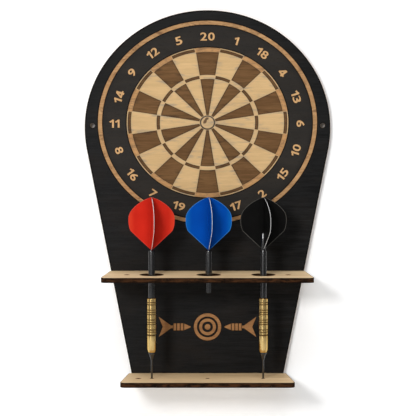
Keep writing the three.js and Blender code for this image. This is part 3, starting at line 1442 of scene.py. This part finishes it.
    def polar(self, point: Vector) -> tuple[float, int, float]:
        """Says how far out a point of the round face lies, and in which sector.

        Args:
            point: a place on the face, before it is made an ellipse.

        Returns:
            The radius, the sector counted clockwise from the top one, and how far from the sector's middle
            the point is, from 0 to 0.5.
        """
        across, up = point.x, point.z - self.art.centre_z
        sectors = len(self.art.sequence)
        share = math.atan2(across, up) / math.tau * sectors
        nearest = math.floor(share + 0.5)
        return math.hypot(across, up), nearest % sectors, abs(share - nearest)

    def sink(
        self, disc: Piece, bands: Sequence[tuple[float, float]], parity: int | None, depth: float
    ) -> None:
        """Burns cells lower than the surface round them.

        Args:
            disc: the face, in edit mode.
            bands: the inner and outer radius of each band of cells.
            parity: 0 for the even sectors, 1 for the odd ones, None for the whole ring.
            depth: how deep.
        """
        surface_y = self.plan.low.y + self.art.depth
        limit = 0.5 - 1 / self.sector_steps

        def wanted(face: bmesh.types.BMFace) -> bool:
            """Whether a face belongs to a cell that is burnt."""
            middle = face.calc_center_median()
            radius, sector, off = self.polar(middle)
            in_band = any(low < radius < high for low, high in bands)
            in_cell = parity is None or (sector % 2 == parity and off < limit)
            return abs(middle.y - surface_y) < NEAR and in_band and in_cell

        pick(disc, Kind.FACE, wanted)
        extrude((0, depth, 0))

    def tint_cells(self, disc: Piece) -> None:
        """Gives each cell of the finished face its wood."""
        art = self.art
        surface_y = self.plan.low.y + art.depth
        for polygon in disc.data.polygons:
            middle = polygon.center.copy()
            middle.z = art.centre_z + (middle.z - art.centre_z) / art.height_share
            radius, sector, _ = self.polar(middle)
            burnt = middle.y > surface_y + 0.02 * MM
            if burnt and (radius < art.singles[0][0] or middle.y > surface_y + 2 * art.burn_depth):
                polygon.material_index = 3
            elif burnt:
                polygon.material_index = 1
            elif radius > art.singles[1][1] and sector % 2 == 0:
                polygon.material_index = 2
            else:
                polygon.material_index = 0


# ---------------------------------------------------------------------------------------- shelves


@dataclass
class Shelf:
    """A birch shelf with burnt edges and its holes."""

    name: str
    plan: ShelfPlan
    face: Material
    edge: Material
    rim: float = 0.22 * MM

    def build(self) -> Piece:
        """Makes the shelf.

        Returns:
            The finished piece.
        """
        plan = self.plan
        board = block(
            Vector((-plan.front_half, plan.front_y, plan.low.z)),
            Vector((plan.front_half, plan.back_y, plan.high.z)),
        )
        back_share = (plan.front_half - plan.flare) / plan.front_half
        with editing(board):
            pick(board, Kind.VERT, lambda v: v.co.y > plan.back_y - NEAR)
            resize((back_share, 1, 1))
            pick(board, Kind.EDGE, self.is_front_corner)
            bpy.ops.mesh.bevel(offset=plan.corner, segments=10, affect="EDGES")
            pick(board, Kind.EDGE, self.is_outline)
            bpy.ops.mesh.bevel(offset=self.rim, segments=2, affect="EDGES")
        paint(board, self.face, self.edge)
        for x in (-plan.tab_x, plan.tab_x):
            low = Vector((x - plan.tab_width / 2, plan.back_y - 1 * MM, plan.low.z))
            high = Vector((x + plan.tab_width / 2, plan.high.y, plan.high.z))
            combine(board, block(low, high, self.face), "UNION")
        for polygon in board.data.polygons:
            polygon.material_index = 0 if abs(polygon.normal.z) > FLAT else 1
        self.drill(board)
        return settle(board, self.name)

    def is_front_corner(self, edge: bmesh.types.BMEdge) -> bool:
        """Whether an edge is one of the two upright ones at the front."""
        upright = abs(edge.verts[0].co.z - edge.verts[1].co.z) > NEAR
        return upright and edge_middle(edge).y < self.plan.front_y + NEAR

    def is_outline(self, edge: bmesh.types.BMEdge) -> bool:
        """Whether an edge runs round the top or the bottom, but not along the panel."""
        level = abs(edge.verts[0].co.z - edge.verts[1].co.z) < NEAR
        return level and edge_middle(edge).y < self.plan.back_y - NEAR

    def drill(self, board: Piece) -> None:
        """Drills the dart holes and the small holes.

        Args:
            board: the shelf so far.
        """
        plan = self.plan
        middle = (plan.low.z + plan.high.z) / 2
        through = 3 * (plan.high.z - plan.low.z)
        for x in plan.hole_xs:
            centre = Vector((x, plan.hole_y, middle))
            length = through
            if plan.blind_depth:
                length = 2 * plan.blind_depth
                centre.z = plan.high.z
            sides = 64 if plan.hole_radius > 3 * MM else 24
            combine(board, rod(centre, plan.hole_radius, length, "Z", self.edge, sides=sides))
        for x in plan.small_xs:
            centre = Vector((x, plan.hole_y, middle))
            combine(board, rod(centre, plan.small_radius, through, "Z", self.edge, sides=24))


# ------------------------------------------------------------------------------------------ darts


@dataclass
class FlightMaker:
    """Makes a flight once, about the Z axis with its top at the origin."""

    half_width: float = 18.6 * MM
    length: float = 43.0 * MM
    widest: float = 0.40
    corner: float = 0.63
    corner_share: float = 0.905
    film: float = 0.3 * MM
    rows: int = 44
    columns: int = 6
    dot_pitch: float = 1.25 * MM
    dot_radius: float = 0.21 * MM
    seam: float = 1.9 * MM
    border: float = 0.38 * MM
    front: int = 2

    def __post_init__(self) -> None:
        """Makes the wing that all the flights are copies of."""
        self.model = self.wing()

    def outline(self, share: float) -> float:
        """The wing's width at a share of the length from the top."""
        if share < self.widest:
            width = math.sin(math.pi / 2 * share / self.widest) ** 0.7
        elif share < self.corner:
            along = (share - self.widest) / (self.corner - self.widest)
            width = 1 - (1 - self.corner_share) * along**2.6
        else:
            width = self.corner_share * (1 - share) / (1 - self.corner)
        return self.half_width * width

    def wing(self) -> Piece:
        """Makes one wing in the XZ plane, with its welded dots.

        Returns:
            The wing, with its rim as a second material slot and a third one for the painted highlight on the
            front wing's rim.
        """
        bpy.ops.mesh.primitive_grid_add(
            x_subdivisions=self.columns, y_subdivisions=self.rows, size=1, rotation=(math.pi / 2, 0, 0)
        )
        wing = bpy.context.object
        wing.scale = (1, self.length, 1)
        wing.location = (0.5, 0, -self.length / 2)
        settle(wing, "wing")
        with editing(wing):
            for row in range(self.rows + 1):
                height = -self.length * row / self.rows
                width = max(self.outline(row / self.rows), 0.02 * MM)
                pick(wing, Kind.VERT, lambda v, z=height: abs(v.co.z - z) < NEAR)
                resize((width, 1, 1))
            bpy.ops.mesh.select_mode(type="FACE")
            select_all()
            bpy.ops.mesh.inset(thickness=self.border)
            bpy.ops.mesh.select_all(action="INVERT")
        solid = wing.modifiers.new("film", "SOLIDIFY")
        solid.thickness = self.film
        solid.offset = 0
        solid.use_even_offset = False
        solid.material_offset_rim = 1
        paint(wing, *(bpy.data.materials.new(slot) for slot in ("film", "rim", "glint")))
        for polygon in wing.data.polygons:
            at_spine = polygon.center.x < 2 * self.border
            polygon.material_index = int(polygon.select and not at_spine)
        apply_modifiers(wing)
        return join([wing, *self.dots()])

    def dots(self) -> list[Piece]:
        """Makes the row of heat-welded dots on both sides of a wing."""
        made = []
        count = int(self.length * 0.86 / self.dot_pitch)
        for index in range(count):
            height = -self.length * 0.1 - index * self.dot_pitch
            if self.outline(-height / self.length) < self.seam + 2 * self.dot_radius:
                continue
            bpy.ops.mesh.primitive_ico_sphere_add(
                subdivisions=1, radius=self.dot_radius, location=(self.seam, 0, height)
            )
            dot = bpy.context.object
            dot.scale = (0.8, 0.75, 1.5)
            settle(dot, "dot")
            made.append(dot)
        return made

    def build(self, turn: float, skew: float) -> Piece:
        """Makes the four wings of one dart.

        Args:
            turn: how far the side wings are turned about the dart's axis.
            skew: how much farther the front and back wings lean round.

        Returns:
            The whole flight.
        """
        right = self.model
        angles = (turn, turn + math.pi, turn + skew - math.pi / 2, turn + skew + math.pi / 2)
        wings = []
        for index, angle in enumerate(angles):
            wing = copy_of(right, f"wing_{index}")
            # The front wing's rim takes the glint, a brighter rim colour painted as a highlight.
            if index == self.front:
                for polygon in wing.data.polygons:
                    polygon.material_index *= 2
            wing.rotation_euler = (0, 0, angle)
            wings.append(settle(wing, f"wing_{index}"))
        flight = join(wings)
        span = flight.data.attributes.new("span", "FLOAT", "POINT")
        for index, vertex in enumerate(flight.data.vertices):
            span.data[index].value = math.hypot(vertex.co.x, vertex.co.y) / self.half_width
        shade(flight, 40)
        return flight

    def sleeve(self, length: float) -> Piece:
        """Turns the narrow sleeve that the film makes where it is drawn over a stem's prongs.

        Args:
            length: how far it reaches up from the flight's lower point.

        Returns:
            The sleeve, about the Z axis.
        """
        foot = -self.length
        profile = [
            (0, foot), (0.5 * MM, foot + 0.05 * MM),
            (1.3 * MM, foot + 1.6 * MM), (1.25 * MM, foot + 3 * MM),
            (1.15 * MM, foot + length - 1 * MM), (0.9 * MM, foot + length + 0.5 * MM),
            (0, foot + length + 0.8 * MM),
        ]
        made = turn("sleeve", profile, 24)
        paint(made, self.model.data.materials[0])
        return made


@dataclass(frozen=True)
class DartSpec:
    """One dart's own facts."""

    name: str
    skew: float
    films: tuple[Material, ...]
    whole: bool
    sleeved: bool


@dataclass
class DartMaker:
    """Dresses the three darts. The turned parts are profiles about each dart's axis."""

    brass: Material
    nylon: Material
    flights: FlightMaker
    turn: float = math.radians(2.5)
    stem_radius: float = 2.7 * MM
    prong_radius: float = 2.1 * MM
    sleeved_prong_radius: float = 0.9 * MM
    prong: float = 14.3 * MM
    spigot: float = 6.5 * MM
    bare_length: float = 11.5 * MM

    def build(self, spec: DartSpec) -> list[tuple[Piece, str]]:
        """Makes a dart's pieces.

        Args:
            spec: which dart.

        Returns:
            Each piece with the CAD node it stands for.
        """
        flight_low, flight_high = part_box(f"{spec.name}_flight")
        axis = (Vector(flight_low) + Vector(flight_high)) / 2
        place = Vector((axis.x, axis.y, 0))
        made = [(self.flight_of(spec, place, flight_high[2]), f"{spec.name}_flight")]
        stem_low, stem_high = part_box(f"{spec.name}_stem")
        stem = self.stem(spec, stem_low[2], flight_low[2], stem_high[2])
        made.append((self.put(stem, place), f"{spec.name}_stem"))
        if spec.whole:
            for part, make in (("barrel", self.barrel), ("tip", self.tip)):
                low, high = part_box(f"{spec.name}_{part}")
                made.append((self.put(make(spec, low[2], high[2]), place), f"{spec.name}_{part}"))
        return made

    def put(self, piece: Piece, place: Vector) -> Piece:
        """Turns a piece about its own axis and stands it in its place."""
        piece.rotation_euler = (0, 0, self.turn)
        piece.location = place
        return settle(piece, piece.name)

    def flight_of(self, spec: DartSpec, place: Vector, top: float) -> Piece:
        """Makes the flight of one dart.

        Args:
            spec: which dart.
            place: its axis.
            top: the height of the flight's top.

        Returns:
            The flight, in its own colours.
        """
        made = self.flights.build(self.turn, spec.skew)
        if spec.sleeved:
            made = join([made, self.flights.sleeve(self.prong)])
        made.location = place + Vector((0, 0, top))
        for index, material in enumerate(spec.films):
            made.data.materials[index] = material
        return settle(made, f"{spec.name}_wings")

    def stem(self, spec: DartSpec, end: float, flight_end: float, top: float) -> Piece:
        """Turns a stem and saws its four prongs.

        Args:
            spec: which dart.
            end: the height of the spigot's end.
            flight_end: the height of the flight's lower point.
            top: the height of the prongs' tips.

        Returns:
            The stem, about the Z axis.
        """
        shoulder = end + (self.spigot if spec.whole else self.bare_length)
        radius = self.stem_radius
        prong_radius = self.sleeved_prong_radius if spec.sleeved else self.prong_radius
        profile = [(0, end)]
        pitch = 0.8 * MM
        turns = int(self.spigot / pitch) if spec.whole else 0
        for index in range(turns):
            z = end + index * pitch
            profile += [(1.95 * MM, z), (2.25 * MM, z + pitch / 2)]
        if not spec.whole:
            profile += [(2.0 * MM, end), (2.2 * MM, end + 0.2 * MM)]
        profile += [
            (1.95 * MM if spec.whole else 2.2 * MM, shoulder - 0.2 * MM),
            (radius - 0.25 * MM, shoulder),
            (radius, shoulder + 0.25 * MM),
            (radius, flight_end - 0.5 * MM),
            (radius - 0.2 * MM, flight_end + 0.1 * MM),
            (prong_radius + 0.1 * MM, flight_end + 0.4 * MM),
            (prong_radius, top - 0.8 * MM),
            (prong_radius - 0.4 * MM, top),
            (0, top),
        ]
        stem = turn(f"{spec.name}_shaft", profile, 40)
        paint(stem, self.nylon)
        half = Vector((3, 0.28, 0)) * MM
        for angle in (0, math.pi / 2 + spec.skew):
            low = -half + Vector((0, 0, flight_end - 0.4 * MM))
            saw = block(low, half + Vector((0, 0, top + 1 * MM)), self.nylon)
            saw.rotation_euler = (0, 0, angle)
            combine(stem, settle(saw, "saw"))
        shade(stem, 30)
        return stem

    def barrel(self, spec: DartSpec, low: float, high: float) -> Piece:
        """Turns a barrel with its ringed grip.

        Args:
            spec: which dart.
            low: the height of its nose.
            high: the height of its upper end.

        Returns:
            The barrel, about the Z axis.
        """
        radius = 3.68 * MM
        bore = 2.35 * MM
        rings = self.grip_rings()
        profile = [
            (0, low + 8 * MM), (bore, low + 8 * MM), (bore, low), (2.75 * MM, low),
            (2.95 * MM, low + 0.2 * MM), (3.5 * MM, low + 1.9 * MM), (radius, low + 2.35 * MM),
        ]
        for below, width, depth in reversed(rings):
            z = high - below * MM
            half = width * MM / 2
            floor = radius - depth * MM
            flat = half * 0.55
            profile += [(radius, z - half), (floor, z - flat), (floor, z + flat), (radius, z + half)]
        profile += [
            (radius, high - 0.35 * MM), (radius - 0.3 * MM, high), (2.6 * MM, high),
            (2.6 * MM, high - 6 * MM), (0, high - 6 * MM),
        ]
        barrel = turn(f"{spec.name}_grip", profile, 64)
        paint(barrel, self.brass)
        self.mark_grooves(barrel, radius, low, high)
        shade(barrel, 28)
        return barrel

    @staticmethod
    def grip_rings() -> list[tuple[float, float, float]]:
        """Lists the grip's grooves as distance below the top, width and depth, in millimetres."""
        rings: list[tuple[float, float, float]] = []
        for start in (1.2, 9.2, 17.2, 25.2):
            for step in (0.0, 1.9, 3.6):
                below = start + step
                if 2.5 < below < 28.5:
                    rings.append((below, 0.85, 0.34))
        rings.append((29.6, 1.25, 0.75))
        return rings

    @staticmethod
    def mark_grooves(barrel: Piece, radius: float, low: float, high: float) -> None:
        """Marks the grooves' floors in an attribute, which the finish darkens."""
        burn = barrel.data.attributes.new("burn", "FLOAT", "POINT")
        for index, vertex in enumerate(barrel.data.vertices):
            away = math.hypot(vertex.co.x, vertex.co.y)
            inside = low + 3 * MM < vertex.co.z < high - 1 * MM
            burn.data[index].value = 1.0 if inside and away < radius - 0.2 * MM else 0.0

    def tip(self, spec: DartSpec, low: float, high: float) -> Piece:
        """Turns a soft tip.

        Args:
            spec: which dart.
            low: the height of its point.
            high: the height of its spigot's end.

        Returns:
            The tip, about the Z axis.
        """
        shoulder = high - self.spigot
        cone = shoulder - 6.3 * MM
        profile = [
            (0, low), (0.38 * MM, low + 0.12 * MM), (0.7 * MM, low + 1.3 * MM), (0.8 * MM, low + 2 * MM),
            (0.82 * MM, cone), (1.05 * MM, cone + 0.7 * MM), (1.75 * MM, cone + 3.4 * MM),
            (2.3 * MM, shoulder - 1.4 * MM), (2.62 * MM, shoulder - 1.1 * MM),
            (2.68 * MM, shoulder - 0.2 * MM), (2.5 * MM, shoulder), (2.2 * MM, shoulder),
            (2.2 * MM, high), (0, high),
        ]
        tip = turn(f"{spec.name}_point", profile, 36)
        paint(tip, self.nylon)
        shade(tip, 30)
        return tip


# ------------------------------------------------------------------------------------------ stage


@dataclass(frozen=True)
class Lamp:
    """A soft rectangular light."""

    name: str
    place: tuple[float, float, float]
    target: tuple[float, float, float]
    size: tuple[float, float]
    power: float

    def build(self) -> None:
        """Hangs the light and points it at its target."""
        bpy.ops.object.light_add(type="AREA", location=self.place)
        lamp = bpy.context.object
        lamp.name = self.name
        lamp.data.shape = "RECTANGLE"
        lamp.data.size, lamp.data.size_y = self.size
        lamp.data.energy = self.power
        aim = Vector(self.target) - Vector(self.place)
        lamp.rotation_euler = aim.to_track_quat("-Z", "Y").to_euler()


@dataclass
class Stage:
    """The pale wall and floor, the lights and the camera."""

    wall: Material
    floor: Material
    camera_distance: float = 1.942
    camera_height: float = 105.4 * MM
    camera_pitch: float = 5.08
    lens: float = 207.0

    def build(self, panel_front_y: float) -> None:
        """Sets everything up.

        Args:
            panel_front_y: where the panel's front face is.
        """
        self.sheet("wall", self.wall, (0, 0.6 * MM, 0.2), (math.pi / 2, 0, 0))
        self.sheet("floor", self.floor, (0, -1.5, -0.6), (0, 0, 0))
        lamps = (
            Lamp("key", (-0.95, -2.05, 0.7), (0, 0, -0.05), (0.6, 0.45), 28),
            Lamp("strip", (-1.0, -2.0, -0.12), (0, 0, -0.12), (0.3, 0.9), 2.2),
            Lamp("top", (-0.2, -1.0, 1.9), (0, 0, -0.1), (1.6, 1.6), 26),
            Lamp("front", (0.3, -2.7, 0.5), (0, 0, -0.05), (1.8, 1.4), 3),
            Lamp("back", (0.5, 1.9, 0.7), (0, 0, 0), (1.6, 1.6), 34),
        )
        for lamp in lamps:
            lamp.build()
        world = bpy.data.worlds.new("studio")
        bpy.context.scene.world = world
        world.use_nodes = True
        background = world.node_tree.nodes["Background"]
        background.inputs["Color"].default_value = (1, 1, 1, 1)
        background.inputs["Strength"].default_value = 0.1
        bpy.context.scene.view_settings.view_transform = "Standard"
        self.camera(panel_front_y)

    @staticmethod
    def sheet(name: str, material: Material, place: tuple, tilt: tuple) -> None:
        """Adds one large flat part of the backdrop."""
        bpy.ops.mesh.primitive_plane_add(size=8, location=place, rotation=tilt)
        made = settle(bpy.context.object, name)
        paint(made, material)

    def camera(self, panel_front_y: float) -> None:
        """Places the camera in front of the panel, a little above it and tilted down."""
        bpy.ops.object.camera_add(
            location=(0.4 * MM, panel_front_y - self.camera_distance, self.camera_height),
            rotation=(math.radians(90 - self.camera_pitch), 0, 0),
        )
        camera = bpy.context.object
        camera.data.lens = self.lens
        camera.data.sensor_width = 36
        bpy.context.scene.camera = camera


# ------------------------------------------------------------------------------------------- main


@dataclass
class Finishes:
    """All the materials, made once the sizes are known."""

    plan: PanelPlan
    art: FaceArt
    films: ClassVar[dict[str, tuple[Colour, ...]]] = {
        # Each film: its colour, a darker tone and, for red and blue, the outer colour painted as light on
        # the wings' outer edges.
        "red": ((0.58, 0.023, 0.011), (0.46, 0.012, 0.006), (0.66, 0.05, 0.02)),
        "red_rim": ((0.66, 0.055, 0.035), (0.6, 0.04, 0.025)),
        # Each glint is a painted highlight on the front wing's rim.
        "red_glint": ((0.74, 0.27, 0.23), (0.68, 0.2, 0.17)),
        "blue": ((0.0003, 0.065, 0.37), (0.0002, 0.042, 0.28), (0.003, 0.125, 0.42)),
        "blue_rim": ((0.035, 0.20, 0.55), (0.02, 0.15, 0.48)),
        "blue_glint": ((0.17, 0.36, 0.74), (0.12, 0.3, 0.66)),
        "black": ((0.0050, 0.0049, 0.0047), (0.0028, 0.0027, 0.0026)),
        "black_rim": ((0.08, 0.076, 0.068), (0.05, 0.046, 0.042)),
        "black_glint": ((0.062, 0.057, 0.049), (0.04, 0.037, 0.032)),
    }

    def build(self, shelves: dict[str, ShelfPlan]) -> dict[str, Material]:
        """Makes every material.

        Args:
            shelves: the two shelves' plans, by name.

        Returns:
            The materials by a short name.
        """
        make_veneer_grain()
        make_scorch()
        make_ply_edge()
        make_face_cells(self.art)
        thickness = self.plan.high.y - self.plan.low.y
        stain, birch = "black_stained_ply", "birch_ply"
        screws = (-self.plan.screw_x, self.plan.screw_x)
        finishes: dict[str, Finish] = {
            "stained": StainedPly(
                "black_stained_veneer", stain, (0.0128, 0.0128, 0.0129), (0.023, 0.0175, 0.0135),
                (0.041, 0.0345, 0.0285), (0.0035, 0.003, 0.0028), self.art, self.plan,
            ),
            "panel_edge": BurntEdge("panel_edge", stain, "Y", self.plan.low.y, thickness),
            "panel_back": WoodTone("panel_back_birch", stain, (0.62, 0.44, 0.25), (0.45, 0.29, 0.14)),
            "ring": WoodTone(
                "engraved_ring", stain, (0.58, 0.345, 0.16), (0.35, 0.18, 0.074),
                soot=(0.17, 0.085, 0.04), soot_amount=0.7, soot_share=0.8,
            ),
            "numeral": WoodTone(
                "engraved_numeral", stain, (0.74, 0.455, 0.215), (0.56, 0.32, 0.14),
                soot=(0.25, 0.14, 0.07), soot_amount=0.5,
            ),
            "motif": WoodTone(
                "engraved_motif", stain, (0.42, 0.215, 0.085), (0.26, 0.115, 0.044),
                soot=(0.10, 0.06, 0.035), soot_amount=0.5,
            ),
            "cream": WoodTone(
                "face_cream", stain, (0.71, 0.48, 0.235), (0.56, 0.365, 0.17),
                soot=(0.30, 0.25, 0.19), soot_amount=0.3, cells=0.16,
            ),
            "brown": WoodTone(
                "face_brown", stain, (0.195, 0.100, 0.037), (0.10, 0.046, 0.0155),
                soot=(0.04, 0.022, 0.012), soot_amount=0.36, cells=0.62,
            ),
            "orange": WoodTone(
                "face_orange", stain, (0.66, 0.37, 0.15), (0.46, 0.235, 0.09),
                soot=(0.22, 0.13, 0.07), soot_amount=0.68, soot_share=0.8, cells=0.25,
            ),
            "soot": WoodTone(
                "soot_line", stain, (0.13, 0.10, 0.075), (0.06, 0.042, 0.03),
                soot=(0.03, 0.022, 0.018), soot_amount=0.6,
            ),
            "brass": Brass("turned_brass", "turned_brass", (0.78, 0.555, 0.225), (0.54, 0.34, 0.11)),
            "nylon": Nylon("black_nylon", "black_nylon", (0.006, 0.006, 0.0065)),
            # The wall is painted with shade behind the two screw holes.
            "wall": PaleBoard("pale_wall", "", (0.95, 0.95, 0.95), glow=0.15, unlit=screws),
            "floor": PaleBoard("pale_floor", "", (0.6, 0.6, 0.6), glow=0.1),
        }
        for name, colours in self.films.items():
            hue, *part = name.split("_")
            finishes[name] = Film("_".join((hue, "film", *part)), f"{hue}_film", *colours)
        for name, plan in shelves.items():
            finishes[f"{name}_face"] = ShelfFace(
                f"{name}_birch", birch, (0.82, 0.615, 0.37), (0.68, 0.48, 0.26), plan
            )
            thick = plan.high.z - plan.low.z
            finishes[f"{name}_edge"] = BurntEdge(f"{name}_burnt_edge", birch, "Z", plan.low.z, thick)
        return {name: finish.make() for name, finish in finishes.items()}


def report(piece: Piece, body: str, slot: str, *nodes: str) -> None:
    """Puts a finished piece on its body and writes a line about it.

    Args:
        piece: the piece.
        body: the CAD body it rides on.
        slot: the record's material slot; not used.
        *nodes: the CAD nodes it stands for.
    """
    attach(piece, body)
    if nodes:
        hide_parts(*nodes)
    log.info("%s rides on %s, %d faces", piece.name, body, len(piece.data.polygons))


def main() -> None:
    """Builds the holder around the frame."""
    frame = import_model()
    plan = PanelPlan(*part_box("back_panel"))
    art = FaceArt()
    dart_xs = []
    for name in ("red", "blue", "black"):
        low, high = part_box(f"{name}_flight")
        dart_xs.append((low.x + high.x) / 2)
    upper = ShelfPlan(
        *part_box("upper_shelf"), plan.low.y, 48 * MM, tuple(dart_xs), 9.5 * MM, (-65 * MM, 65 * MM)
    )
    lower = ShelfPlan(
        *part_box("lower_shelf"), plan.low.y, 36 * MM, (dart_xs[0], 0.0, dart_xs[2]), 1.25 * MM, (-56 * MM,),
        blind_depth=2.5 * MM,
    )
    woods = Finishes(plan, art).build({"upper": upper, "lower": lower})

    slots = [
        (x, (shelf.low.z + shelf.high.z) / 2)
        for shelf in (upper, lower)
        for x in (-shelf.tab_x, shelf.tab_x)
    ]
    motif_drop = 2 * MM
    panel = BackPanel(plan, art, woods, slots, (upper.low.z + lower.high.z) / 2 - motif_drop)
    stained, face = panel.build()
    report(stained, "holder", "black_stained_ply", "back_panel")
    report(face, "holder", "black_stained_ply", "back_panel")

    for name, shelf in (("upper", upper), ("lower", lower)):
        piece = Shelf(f"{name}_birch_shelf", shelf, woods[f"{name}_face"], woods[f"{name}_edge"]).build()
        report(piece, "holder", "birch_ply", f"{name}_shelf")

    flights = FlightMaker()
    maker = DartMaker(woods["brass"], woods["nylon"], flights)
    specs = []
    for name, skew, whole, sleeved in (
        ("red", 5, True, True), ("blue", 6, False, True), ("black", 14.5, True, False)
    ):
        films = tuple(woods[name + part] for part in ("", "_rim", "_glint"))
        specs.append(DartSpec(name, math.radians(skew), films, whole, sleeved))
    node_slot = {part["node"]: part["material_slot"] for part in frame["record"]["subparts"]}
    for spec in specs:
        for piece, node in maker.build(spec):
            report(piece, f"{spec.name}_dart", node_slot[node], node)
    discard(flights.model)

    Stage(woods["wall"], woods["floor"]).build(plan.low.y)


if __name__ == "__main__":
    main()
